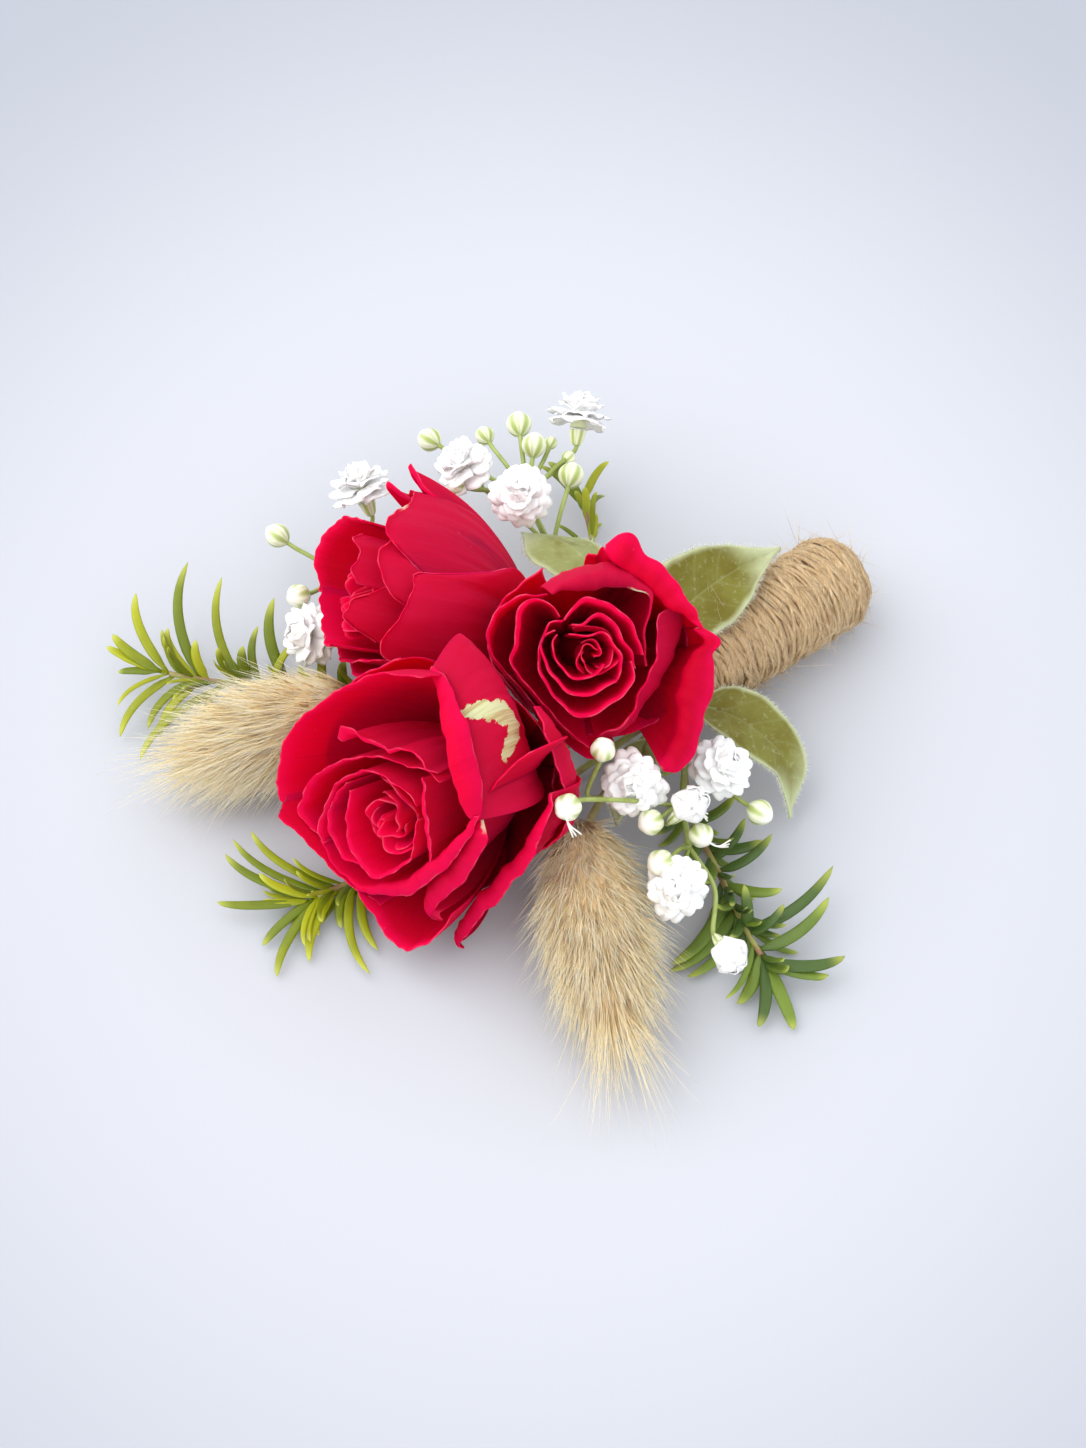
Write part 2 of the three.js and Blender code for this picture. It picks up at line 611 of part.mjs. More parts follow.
// A forked green stem. Each twig runs from a point on the main stem to a bud, or to the cup of a floret.
function breathSpray({ slot, path, twigs }) {
  const pieces = [stalk([...thinSlot(slot), ...path], SPRAY.stem, 4, 9, 0.8)];
  for (const twig of twigs) {
    const from = path[twig.from];
    const axis = twig.faces ? twig.faces.clone().normalize() : twig.to.clone().sub(from).normalize();
    const neck = twig.to.clone().addScaledVector(axis, -SPRAY.neck);
    const middle = twig.via ?? from.clone().lerp(neck, 0.55).add(at(0, 0, 0.8));
    const end = twig.to.clone().addScaledVector(axis, -0.2 * SPRAY.neck);
    pieces.push(stalk([from, middle, neck, end], SPRAY.twig, 3, 4));
    if (twig.bud) pieces.push(bud(twig.to, axis, twig.bud));
    else pieces.push(cup(twig.to, axis));
  }
  return fuse(pieces);
}

// A three-cornered petal: narrow at its root, square at its end
function wedge(root, left, right, over, thickness) {
  const lift = over.clone().multiplyScalar(thickness / 2);
  const upper = [root, left, right].map((p) => p.clone().add(lift));
  const lower = [root, left, right].map((p) => p.clone().sub(lift));
  return facets(
    [...upper, ...lower],
    [[0, 2, 1], [3, 4, 5], [0, 1, 4], [0, 4, 3], [1, 2, 5], [1, 5, 4], [2, 0, 3], [2, 3, 5]],
  );
}

// A double floret: rings of small petals on a low core, each ring standing steeper than the last
function breathFloret({ to, faces, size, rings }) {
  const axis = faces.clone().normalize();
  const side = sideways(axis);
  const other = axis.clone().cross(side);
  const base = to.clone().addScaledVector(axis, CLEARANCE);
  const pieces = [turned(base, axis, [[0, 0.8], [0.16 * size, 0.2 * size], [0.36 * size, 0.08 * size]], 5)];
  for (const { count, lean, from, length, half } of rings) {
    for (let k = 0; k < count; k++) {
      const turn = (2 * Math.PI * (k + lean / 60)) / count;
      const out = side.clone().multiplyScalar(Math.cos(turn)).addScaledVector(other, Math.sin(turn));
      const round = axis.clone().cross(out);
      const way = axis.clone().multiplyScalar(Math.cos(rad(lean))).addScaledVector(out, Math.sin(rad(lean)));
      const spot = (along, aside) =>
        base.clone()
          .addScaledVector(axis, from * size)
          .addScaledVector(way, along * size)
          .addScaledVector(round, aside * size);
      const over = round.clone().cross(way);
      pieces.push(wedge(spot(0, 0), spot(length, -half), spot(length, half), over, BLADE.floret));
    }
  }
  return fuse(pieces);
}

const SPRAYS = {
  top: {
    slot: 2,
    path: [at(-2.6, 8.4, 11.4), at(-0.5, 20, 11), at(1.5, 31, 11), at(4.5, 40, 12)],
    twigs: [
      { from: 2, to: at(0.4, 46.6, 16), faces: at(-0.3, 0.5, 0.8), floret: "top_2" },
      { from: 2, to: at(1.5, 36.5, 19.5), faces: at(-0.4, -0.2, 0.9), floret: "top_3" },
      { from: 3, to: at(18.5, 42.5, 15), faces: at(0.6, 0.5, 0.5), floret: "top_4" },
      { from: 3, to: at(1.5, 59, 10), via: at(3.4, 49, 11), bud: 1.7 },
      { from: 3, to: at(8.2, 54, 11), bud: 1.4 },
      { from: 3, to: at(12.6, 50.6, 13), bud: 1.8 },
      { from: 3, to: at(11, 45, 15), bud: 1.8 },
      { from: 2, to: at(12.5, 37.5, 13), bud: 1.8 },
    ],
  },
  left: {
    slot: 4,
    path: [at(-5.6, 7.6, 5.4), at(-12, 20, 2.2), at(-19, 32, 2), at(-23, 42, 4), at(-24, 50, 6)],
    twigs: [
      { from: 4, to: at(-13.5, 57, 12), faces: at(0.1, 0.5, 0.6), floret: "left_1" },
      { from: 3, to: at(-31.5, 47.5, 9.5), faces: at(-0.7, 0.4, 0.6), floret: "left_2" },
      { from: 4, to: at(-27.5, 61.5, 9), bud: 1.7 },
      { from: 4, to: at(-32.5, 55.5, 11), bud: 1.7 },
    ],
  },
  right: {
    slot: 10,
    path: [at(-4.5, -7, 9.4), at(-11, -12, 11), at(-16.5, -17.5, 12), at(-20, -22.5, 10.5)],
    twigs: [
      { from: 1, to: at(-23, -14.2, 18), faces: at(-0.55, -0.45, 0.7), floret: "right_1" },
      { from: 0, to: at(-8.8, -15.6, 13.6), faces: at(0.2, -0.4, 0.85), floret: "right_2" },
      { from: 3, to: at(-24, -25.5, 11), faces: at(-0.5, -0.4, 0.7), floret: "right_3" },
      {
        from: 3, to: at(-26, -37.5, 10), via: at(-22, -30, 10), faces: at(-0.3, -0.8, 0.4),
        floret: "right_4", half: true,
      },
      { from: 2, to: at(-17, -19.6, 16.6), faces: at(0.3, -0.3, 0.7), floret: "right_5", half: true },
      { from: 1, to: at(-26.8, -11.8, 27), via: at(-28, -9.5, 17), faces: at(0.1, -0.1, 1), bud: 1.6 },
      { from: 2, to: at(-27.2, -21.6, 17), bud: 1.7 },
      { from: 3, to: at(-18, -26, 13.5), bud: 1.8 },
      { from: 1, to: at(-8, -25, 11), bud: 1.8 },
    ],
  },
};
const FULL_FLORET = {
  size: 9.6,
  rings: [
    { count: 5, lean: 80, from: 0.12, length: 0.5, half: 0.27 },
    { count: 4, lean: 42, from: 0.2, length: 0.42, half: 0.2 },
  ],
};
const HALF_OPEN_FLORET = {
  size: 6.5,
  rings: [{ count: 5, lean: 24, from: 0.05, length: 0.75, half: 0.26 }],
};

// Downy leaves

// A broad pointed leaf. Its midrib follows a curve, and the two halves rise or fall from it by fold.
function downyLeaf({ slot, petiole, rib, width, fold, up }) {
  const curve = new THREE.CatmullRomCurve3(rib, false, "centripetal");
  const rows = 5;
  const grid = [];
  for (let i = 0; i <= rows; i++) {
    const u = i / rows;
    const centre = curve.getPointAt(u);
    const along = curve.getTangentAt(u);
    const side = along.clone().cross(up).normalize();
    const over = side.clone().cross(along).normalize();
    const half = width * Math.max(0.09, Math.sin(Math.PI * u ** 0.8) ** 0.8);
    grid.push(
      [-1, -0.5, 0, 0.5, 1].map((s) =>
        centre.clone()
          .addScaledVector(side, s * half * Math.cos(rad(fold)))
          .addScaledVector(over, Math.abs(s) * half * Math.sin(rad(fold))),
      ),
    );
  }
  const stem = stalk([...thinSlot(slot), ...petiole, rib[0], curve.getPointAt(0.12)], 0.6, 4, 9);
  return fuse([blade(grid, BLADE.leaf), stem]);
}

const LEAVES = {
  over_handle: {
    slot: 0, petiole: [at(-3.2, 0.3, 15.4), at(-3.6, 2.4, 16.4)],
    rib: [at(-1, 4.2, 17), at(6, 5.6, 18), at(15, 5, 17.6), at(24.5, 3, 15.6)],
    width: 7.2, fold: 14, up: at(-0.1, -0.3, 1),
  },
  beside_handle: {
    slot: 11, petiole: [at(-2.6, -4.4, 12.4)],
    rib: [at(-3.6, -6, 13), at(-1.4, -11, 13.6), at(0, -18, 10), at(-0.6, -25.5, 2.6)],
    width: 5.6, fold: 12, up: at(0.2, -0.2, 1),
  },
  behind: {
    slot: 1, petiole: [at(-2.8, 5.2, 15), at(-2, 10.5, 16.4)],
    rib: [at(-1, 16, 17.6), at(-0.5, 22, 19.4), at(-0.8, 28, 18.4), at(-1.6, 34, 14.6)],
    width: 6, fold: -16, up: at(0.4, 0, 1),
  },
  under_floret: {
    slot: 12, petiole: [at(-4.6, -2.8, 13.4)],
    rib: [at(-12, -5.4, 11.6), at(-17, -7.2, 10.2), at(-21.4, -9.4, 9.8), at(-25, -12.4, 10)],
    width: 3.4, fold: 12, up: at(0, 0, 1),
  },
};

// Assembly

const boutonniere = new THREE.Group();
function addNode(name, solid, material) {
  const mesh = new THREE.Mesh(toGeometry(solid), material);
  mesh.name = name;
  boutonniere.add(mesh);
}

addNode("twine_wrap", twineWrap(), JUTE);
const roseTurns = { front: -150, back: -30, upper: 90 };
for (const [name, rose] of Object.entries(ROSES)) {
  addNode(`rose_${name}_petals`, roseBloom(rose), ROSE_RED);
  addNode(`rose_${name}_stem`, roseStem(rose, roseTurns[name]), ROSE_GREEN);
}
for (const [name, tail] of Object.entries(TAILS)) {
  addNode(`bunny_tail_${name}_head`, tailHead(tail), TAIL_CREAM);
  addNode(`bunny_tail_${name}_stem`, tailStem(tail), STRAW);
}
for (const [name, sprig] of Object.entries(ROSEMARY)) {
  addNode(`rosemary_${name}`, rosemarySprig(sprig), ROSEMARY_GREEN);
}
for (const [name, spray] of Object.entries(SPRAYS)) {
  addNode(`breath_${name}_stem`, breathSpray(spray), BREATH_GREEN);
  for (const twig of spray.twigs.filter((t) => t.floret)) {
    const shape = twig.half ? HALF_OPEN_FLORET : FULL_FLORET;
    addNode(`breath_floret_${twig.floret}`, breathFloret({ ...twig, ...shape }), BREATH_WHITE);
  }
}
for (const [name, leaf] of Object.entries(LEAVES)) {
  addNode(`leaf_${name}`, downyLeaf(leaf), DOWNY_GREEN);
}

// The table spot under the middle becomes the origin
const extent = new THREE.Box3().setFromObject(boutonniere);
const middle = extent.getCenter(at(0, 0, 0));
boutonniere.position.set(-middle.x, -middle.y, -extent.min.z);

export default boutonniere;
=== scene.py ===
"""The looks of a boutonniere: three red roses, two bunny-tail grass heads, rosemary, baby's breath and
downy leaves, whose stems run into a handle wound with jute twine.

Shapes are worked out in millimetres round the binding point, where the stems leave the twine, with +X
along the handle, and are moved to the frame's metres when a mesh is made."""

import math
from types import SimpleNamespace as Sizes

import bpy
import numpy as np
from bpy.props import FloatProperty, FloatVectorProperty, IntProperty, PointerProperty
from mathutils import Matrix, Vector


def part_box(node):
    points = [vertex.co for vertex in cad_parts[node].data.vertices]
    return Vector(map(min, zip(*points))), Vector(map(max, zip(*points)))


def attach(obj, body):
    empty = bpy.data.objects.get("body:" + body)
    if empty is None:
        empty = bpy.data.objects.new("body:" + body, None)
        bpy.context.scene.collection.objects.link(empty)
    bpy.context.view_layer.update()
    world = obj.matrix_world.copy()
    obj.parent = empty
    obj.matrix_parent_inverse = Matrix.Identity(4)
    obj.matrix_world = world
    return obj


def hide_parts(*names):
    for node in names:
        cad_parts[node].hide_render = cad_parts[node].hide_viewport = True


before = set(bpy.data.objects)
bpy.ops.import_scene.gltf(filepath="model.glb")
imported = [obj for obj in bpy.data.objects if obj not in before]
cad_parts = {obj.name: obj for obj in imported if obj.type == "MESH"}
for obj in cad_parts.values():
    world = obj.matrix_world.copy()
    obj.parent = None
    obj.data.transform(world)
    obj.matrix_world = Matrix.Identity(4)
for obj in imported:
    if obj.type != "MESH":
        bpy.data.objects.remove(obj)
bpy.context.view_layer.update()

bl_info = {
    "name": "Boutonniere",
    "version": (1, 0, 0),
    "blender": (4, 5, 0),
    "location": "3D View > Sidebar > Boutonniere",
    "description": "Roses, bunny-tail grass, rosemary, baby's breath and leaves bound with jute twine",
    "category": "Add Mesh",
}

MM = 0.001

# Driving dimensions, as in the solids, in millimetres

HANDLE = Sizes(
    length=35, mouth_height=10.4, mouth_radius=6.5, end_radius=7.1, dome=5, pressed=0.25, end_wall=2.4,
    relief=0.32,
)
STEM = Sizes(rose=1.15, rose_ring=1.55, thin=0.68, thin_ring=4.15, thin_count=13, end_gap=0.6)
SLOT_POINTS = (HANDLE.length - HANDLE.end_wall - STEM.end_gap, 12, -2.5)
CLEARANCE = 0.35

DOME_START = HANDLE.length - HANDLE.dome
TILT = math.asin((HANDLE.mouth_height - HANDLE.end_radius + HANDLE.pressed) / DOME_START)
ALONG_HANDLE = np.array([math.cos(TILT), 0, -math.sin(TILT)])
UP_FROM_HANDLE = np.array([math.sin(TILT), 0, math.cos(TILT)])

WRAP_LOW, WRAP_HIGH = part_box("twine_wrap")
BINDING_POINT = np.array([
    WRAP_LOW.x / MM + HANDLE.mouth_radius * math.sin(TILT),
    WRAP_HIGH.y / MM - HANDLE.end_radius - HANDLE.relief,
    0,
])


# Vectors and curves


def unit(vectors):
    """Vectors divided by their lengths."""
    return vectors / np.linalg.norm(vectors, axis=-1, keepdims=True)


def smooth(x, low, high):
    """0 below low, 1 above high, and 3 u^2 - 2 u^3 between."""
    u = np.clip((x - low) / (high - low), 0, 1)
    return u * u * (3 - 2 * u)


def sideways(axis):
    """The direction square to an axis that points most nearly upwards, or along X where the axis does."""
    upward = np.where(np.abs(axis[..., 2:]) > 0.98, [1.0, 0, 0], [0, 0, 1.0])
    return unit(upward - (upward * axis).sum(-1, keepdims=True) * axis)


def angles_round(count):
    """Angles spaced evenly round a circle."""
    return 2 * np.pi * np.arange(count) / count


def spokes(axis, turn):
    """Directions square to an axis, at angles turn round it from the one that sideways gives."""
    side = sideways(axis)
    return side * np.cos(turn)[..., None] + np.cross(axis, side) * np.sin(turn)[..., None]


def curve_through(points, count):
    """Evenly spaced points on a smooth curve through the given ones: cubic spans whose end slopes come
    from the neighbouring points, each weighted by the square root of its distance. Numbers past the
    third go along."""
    points = np.asarray(points, float)
    p = np.vstack([2 * points[0] - points[1], points, 2 * points[-1] - points[-2]])
    gap = np.sqrt(np.linalg.norm(np.diff(p[:, :3], axis=0), axis=1))[:, None]
    before, own, after = gap[:-2], gap[1:-1], gap[2:]
    start, end = p[1:-2], p[2:-1]
    rise = ((start - p[:-3]) / before - (end - p[:-3]) / (before + own) + (end - start) / own) * own
    fall = ((end - start) / own - (p[3:] - start) / (own + after) + (p[3:] - end) / after) * own
    u = np.linspace(0, 1, 33)[None, :, None]
    start, end, rise, fall = (part[:, None] for part in (start, end, rise, fall))
    dense = (
        start * (1 - 3 * u**2 + 2 * u**3) + end * (3 * u**2 - 2 * u**3)
        + rise * (u - 2 * u**2 + u**3) + fall * (u**3 - u**2)
    ).reshape(-1, points.shape[1])
    travelled = np.concatenate([[0], np.cumsum(np.linalg.norm(np.diff(dense[:, :3], axis=0), axis=1))])
    even = np.linspace(0, travelled[-1], count)
    return np.stack([np.interp(even, travelled, part) for part in dense.T], axis=1)


def point_on(path, share):
    """The point and the direction at a share of an evenly spaced path."""
    place = np.asarray(share) * (len(path) - 1)
    steps = np.arange(len(path))
    slope = unit(np.gradient(path, axis=0))
    point = np.stack([np.interp(place, steps, path[:, k]) for k in range(3)], axis=-1)
    way = np.stack([np.interp(place, steps, slope[:, k]) for k in range(3)], axis=-1)
    return point, unit(way)


def tube(path, radius, sides):
    """Rings round a path: ring point k stands radius away at angle 2 pi k / sides, counted from a
    direction square to the path. radius may be a number, one for each ring or one for each point."""
    along = unit(np.gradient(path, axis=0))
    least = np.eye(3)[np.abs(along).max(axis=0).argmin()]
    side = unit(np.cross(along, least))
    other = np.cross(along, side)
    turn = angles_round(sides)
    radius = np.asarray(radius, float)
    radius = radius.reshape(radius.shape + (1,) * (2 - radius.ndim))[..., None]
    spoke = side[:, None] * np.cos(turn)[:, None] + other[:, None] * np.sin(turn)[:, None]
    return path[:, None] + radius * spoke


def turned(base, axis, heights, radii, sides, lobes=0, lobe_depth=0.0):
    """A lathe shape: rings at the given heights up the axis, whose radius may swell and sink round the
    axis as 1 + depth * cos(lobes * turn)."""
    turn = angles_round(sides)
    radius = np.outer(radii, 1 + lobe_depth * np.cos(lobes * turn))[..., None]
    return base + np.asarray(heights)[:, None, None] * axis + radius * spokes(axis, turn)


def plane(normal, offset, press=0.35, reach=2.5):
    """A plane that its neighbours press on from the side of the normal."""
    size = np.linalg.norm(normal)
    return np.asarray(normal, float) / size, (offset + press) / size, reach


def below(normal, offset, press=0.35, reach=2.5):
    """The same plane, pressed on from its other side."""
    return plane([-part for part in normal], -offset, press, reach)


def pressed(points, planes):
    """A point at a distance d from a plane, with d under the plane's reach r, moves to r exp(d/r - 1).
    So it slows down as it nears the plane and never crosses it."""
    for normal, offset, reach in planes:
        distance = points @ normal - offset
        push = reach * np.exp(np.minimum(distance, reach) / reach - 1) - distance
        points = points + np.where(distance < reach, push, 0)[..., None] * normal
    return points


# The camera, in millimetres round the binding point, and the photo's size in pixels

CAMERA = Sizes(eye=(-246.6, -242.4, 491.5), aim=(-16.28, 13.31, 0), lens=98.5, sensor=36)
PHOTO = Sizes(width=1086, height=1448)


def seen_at(x, y, height):
    """The point at this height over the table that the photo shows at this pixel: the camera's ray
    through the pixel, followed down to the height."""
    eye = np.array(CAMERA.eye)
    onward = unit(np.array(CAMERA.aim) - eye)
    aside = unit(np.cross(onward, [0, 0, 1]))
    up = np.cross(aside, onward)
    focal = CAMERA.lens / CAMERA.sensor * PHOTO.height
    ray = onward + (aside * (x - PHOTO.width / 2) - up * (y - PHOTO.height / 2)) / focal
    return tuple(eye + ray * (height - eye[2]) / ray[2])


# Planes along which neighbours press on each other, as normal and offset

FRONT_UPPER = ((0.979, 0.049, 0.196), -22.4)
BACK_UPPER = ((0.3, -0.92, 0.26), -15.2)
FRONT_BACK = ((0.34, 0.9, -0.27), -0.7)
FRONT_UNDERSIDE = ((0.157, -0.27, 1), -3.2)
BACK_UNDERSIDE = ((0.378, -0.158, 1), -6.5)
UPPER_UNDERSIDE = ((0, 0, 1), 19)
TAIL_AND_ROSEMARY = ((0.49, 0.87, 0), 14.2)
ROSEMARY_TOP = ((0, 0, 1), 9)
TABLE = ((0, 0, 1), 0)


# Meshes


class Skin:
    """Gathers closed skins into one mesh. Each point keeps the named numbers that its material reads."""

    def __init__(self, *marks):
        self.points, self.quads, self.triangles = [], [], []
        self.marks = {name: [] for name in marks}
        self.count = 0

    def add(self, points, quads, triangles, marks):
        """Takes points of shape (..., 3) and faces that count them in order."""
        shape = points.shape[:-1]
        for name, kept in self.marks.items():
            kept.append(np.broadcast_to(marks.get(name, 0.0), shape).ravel())
        self.points.append(points.reshape(-1, 3))
        self.quads.append(quads.reshape(-1, 4) + self.count)
        self.triangles.append(triangles.reshape(-1, 3) + self.count)
        self.count += len(self.points[-1])

    def rings(self, grid, **marks):
        """Lofts of shape (copies, rings, sides, 3), or one of shape (rings, sides, 3). Quads join each
        ring to the next and a fan closes each end."""
        grid = grid.reshape((-1,) + grid.shape[-3:])
        index = np.arange(grid[..., 0].size).reshape(grid.shape[:3])
        onward = np.roll(index, -1, axis=2)
        quads = np.stack([index[:, :-1], onward[:, :-1], onward[:, 1:], index[:, 1:]], axis=-1)
        fan = np.arange(1, grid.shape[2] - 1)
        near, far = index[:, 0], index[:, -1]
        near_fan = np.stack([near[:, :1] + 0 * fan, near[:, fan + 1], near[:, fan]], axis=-1)
        far_fan = np.stack([far[:, :1] + 0 * fan, far[:, fan], far[:, fan + 1]], axis=-1)
        self.add(grid, quads, np.concatenate([near_fan, far_fan]), marks)

    def spikes(self, grid, tips, **marks):
        """Lofts of shape (copies, rings, sides, 3) that each end in a point, for hairs. A mark has one
        value for each copy and one for each ring and the tip."""
        copies, rings, sides = grid.shape[:3]
        points = np.concatenate([grid.reshape(copies, -1, 3), tips[:, None]], axis=1)
        index = np.arange(points[..., 0].size).reshape(copies, -1)
        ring = index[:, :-1].reshape(copies, rings, sides)
        onward = np.roll(ring, -1, axis=2)
        quads = np.stack([ring[:, :-1], onward[:, :-1], onward[:, 1:], ring[:, 1:]], axis=-1)
        tip = np.broadcast_to(index[:, -1:], (copies, sides))
        point_fan = np.stack([ring[:, -1], onward[:, -1], tip], axis=-1).reshape(-1, 3)
        fan = np.arange(1, sides - 1)
        root_fan = np.stack([ring[:, 0, :1] + 0 * fan, ring[:, 0, fan + 1], ring[:, 0, fan]], axis=-1)
        spread = {
            name: np.concatenate([np.repeat(value[:, :-1], sides, axis=1), value[:, -1:]], axis=1)
            for name, value in marks.items()
        }
        self.add(points, quads, np.concatenate([point_fan, root_fan.reshape(-1, 3)]), spread)

    def blades(self, grid, thickness, **marks):
        """Surfaces of shape (copies, rows, columns, 3), or one of shape (rows, columns, 3), moved by half
        the thickness along their normal to both sides, with a strip round the rim. The mark face is 0 on
        the side of the normal and 1 on the other."""
        grid = grid.reshape((-1,) + grid.shape[-3:])
        copies, rows, columns = grid.shape[:3]
        normal = unit(np.cross(np.gradient(grid, axis=2), np.gradient(grid, axis=1)) + 1e-12)
        offset = normal * 0.5 * np.broadcast_to(thickness, grid.shape[:3])[..., None]
        both = np.stack([grid + offset, grid - offset], axis=1)
        index = np.arange(both[..., 0].size).reshape(both.shape[:4])
        front, back = index[:, 0], index[:, 1]
        a, b, c, d = front[:, :-1, :-1], front[:, :-1, 1:], front[:, 1:, :-1], front[:, 1:, 1:]
        e, f, g, h = back[:, :-1, :-1], back[:, :-1, 1:], back[:, 1:, :-1], back[:, 1:, 1:]
        down, over = np.arange(rows - 1), np.arange(columns - 1)
        rim_row = np.concatenate([0 * over, down, 0 * over + rows - 1, down[::-1] + 1])
        rim_column = np.concatenate([over, 0 * down + columns - 1, over[::-1] + 1, 0 * down])
        near, far = front[:, rim_row, rim_column], back[:, rim_row, rim_column]
        rim = np.stack([near, far, np.roll(far, -1, axis=1), np.roll(near, -1, axis=1)], axis=-1)
        faces = [np.stack([a, b, d, c], axis=-1), np.stack([e, g, h, f], axis=-1), rim]
        doubled = {
            name: np.broadcast_to(value, grid.shape[:3])[:, None] for name, value in marks.items()
        }
        doubled["face"] = np.array([0.0, 1.0]).reshape(1, 2, 1, 1)
        no_triangles = np.empty((0, 3), int)
        self.add(both, np.concatenate([face.reshape(-1, 4) for face in faces]), no_triangles, doubled)

    def piece(self, name, material, slot, *nodes):
        """Makes the object, with its place in its mesh, and puts it on the frame in its nodes' stead."""
        points = (np.concatenate(self.points) + BINDING_POINT) * MM
        quads, triangles = np.concatenate(self.quads), np.concatenate(self.triangles)
        corners = np.concatenate([quads.ravel(), triangles.ravel()])
        sizes = np.concatenate([np.full(len(quads), 4), np.full(len(triangles), 3)])
        mesh = bpy.data.meshes.new(name)
        mesh.vertices.add(len(points))
        mesh.vertices.foreach_set("co", points.ravel())
        mesh.loops.add(len(corners))
        mesh.loops.foreach_set("vertex_index", corners)
        mesh.polygons.add(len(sizes))
        mesh.polygons.foreach_set("loop_start", np.cumsum(sizes) - sizes)
        mesh.update(calc_edges=True)
        for mark, values in self.marks.items():
            kept = mesh.attributes.new(mark, "FLOAT", "POINT")
            kept.data.foreach_set("value", np.concatenate(values))
        mesh.validate()
        mesh.shade_smooth()
        mesh.materials.append(material)
        thing = bpy.data.objects.new(name, mesh)
        bpy.context.scene.collection.objects.link(thing)
        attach(thing, "root")
        if nodes:
            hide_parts(*nodes)


def hairs(skin, roots, ways, lengths, radius, bends, shares=(0, 0.45), **marks):
    """Three-sided hairs. A hair's middle line at a share u of its length is root + way length u +
    bend u^2, and its radius falls as (1 - u)^0.6."""
    share = np.asarray(shares)[None, :, None]
    middle = roots[:, None] + (ways * lengths[:, None])[:, None] * share + bends[:, None] * share**2
    thick = radius * (1 - share[..., None]) ** 0.6
    spoke = spokes(ways[:, None], angles_round(3))
    tips = roots + ways * lengths[:, None] + bends
    shares = np.broadcast_to([*shares, 1.0], (len(roots), len(shares) + 1))
    skin.spikes(middle[:, :, None] + thick * spoke[:, None], tips, along=shares, **marks)


# Shader maths


class Signal:
    """A shader output that can stand in Python sums: each operator adds the Math node that does it."""

    def __init__(self, finish, output):
        self.finish, self.output = finish, output

    def __add__(self, other):
        return self.finish.math("ADD", self, other)

    def __sub__(self, other):
        return self.finish.math("SUBTRACT", self, other)

    def __rsub__(self, other):
        return self.finish.math("SUBTRACT", other, self)

    def __mul__(self, other):
        return self.finish.math("MULTIPLY", self, other)

    __radd__, __rmul__ = __add__, __mul__


class Finish:
    """A procedural material. Its Principled shader's even settings are given by socket name."""

    def __init__(self, name, settings):
        self.material = bpy.data.materials.new(name)
        self.material.use_nodes = True
        self.tree = self.material.node_tree
        self.shader = self.tree.nodes["Principled BSDF"]
        for socket, value in settings.items():
            self.shader.inputs[socket].default_value = value

    def feed(self, socket, value):
        """Links an output to a socket, or sets the socket to a plain value."""
        if isinstance(value, Signal):
            self.tree.links.new(value.output, socket)
        else:
            socket.default_value = value

    def add(self, kind, inputs, output=0, **settings):
        """Adds a node: its settings first, then the values or links of its sockets."""
        node = self.tree.nodes.new(kind)
        for name, value in settings.items():
            setattr(node, name, value)
        for place, value in inputs.items():
            self.feed(node.inputs[place], value)
        return Signal(self, node.outputs[output])

    def math(self, operation, *values):
        """One Math node."""
        return self.add("ShaderNodeMath", dict(enumerate(values)), operation=operation)

    def mark(self, name):
        """The named number that the mesh keeps at each point."""
        return self.add("ShaderNodeAttribute", {}, 2, attribute_name=name)

    def place(self):
        """Where the point is, in metres."""
        return self.add("ShaderNodeTexCoord", {}, 3)

    def apart(self, axis):
        """One of the three numbers of the point's place."""
        return self.add("ShaderNodeSeparateXYZ", {0: self.place()}, axis)

    def triple(self, x, y, z):
        """Three numbers as one vector."""
        return self.add("ShaderNodeCombineXYZ", {0: x, 1: y, 2: z})

    def noise(self, vector, scale, detail=3.0, rough=0.5):
        """Smooth random values round a half."""
        inputs = {"Vector": vector, "Scale": scale, "Detail": detail, "Roughness": rough}
        return self.add("ShaderNodeTexNoise", inputs)

    def smooth(self, value, low, high):
        """0 below low, 1 above high and a soft step between."""
        inputs = {0: value, 1: low, 2: high}
        return self.add("ShaderNodeMapRange", inputs, interpolation_type="SMOOTHSTEP")

    def mix(self, first, second, share):
        """One colour passing into another."""
        inputs = {0: share, 6: first, 7: second}
        return self.add("ShaderNodeMix", inputs, 2, data_type="RGBA")

    def layers(self, colour, *coats):
        """A colour under thin coats, each given as its colour and its share."""
        for coat, share in coats:
            colour = self.mix(colour, coat, share)
        return colour

    def finish(self, colour, roughness, height=None, strength=0.3, depth=0.0002):
        """Connects what varies over the surface and returns the material."""
        self.feed(self.shader.inputs["Base Color"], colour)
        self.feed(self.shader.inputs["Roughness"], roughness)
        if height is not None:
            inputs = {"Strength": strength, "Distance": depth, "Height": height}
            self.feed(self.shader.inputs["Normal"], self.add("ShaderNodeBump", inputs))
        return self.material


def opaque(colour):
    """A property's colour as the four numbers of a colour socket."""
    return (*colour, 1.0)


# Settings


def size_setting(name, description, millimetres):
    """A length, shown in the scene's units."""
    return FloatProperty(
        name=name, description=description, default=millimetres * MM, min=0.0, subtype="DISTANCE",
        unit="LENGTH", precision=5,
    )


def colour_setting(name, description, colour):
    """A colour with its own swatch."""
    return FloatVectorProperty(
        name=name, description=description, default=colour, min=0.0, max=1.0, subtype="COLOR",
    )


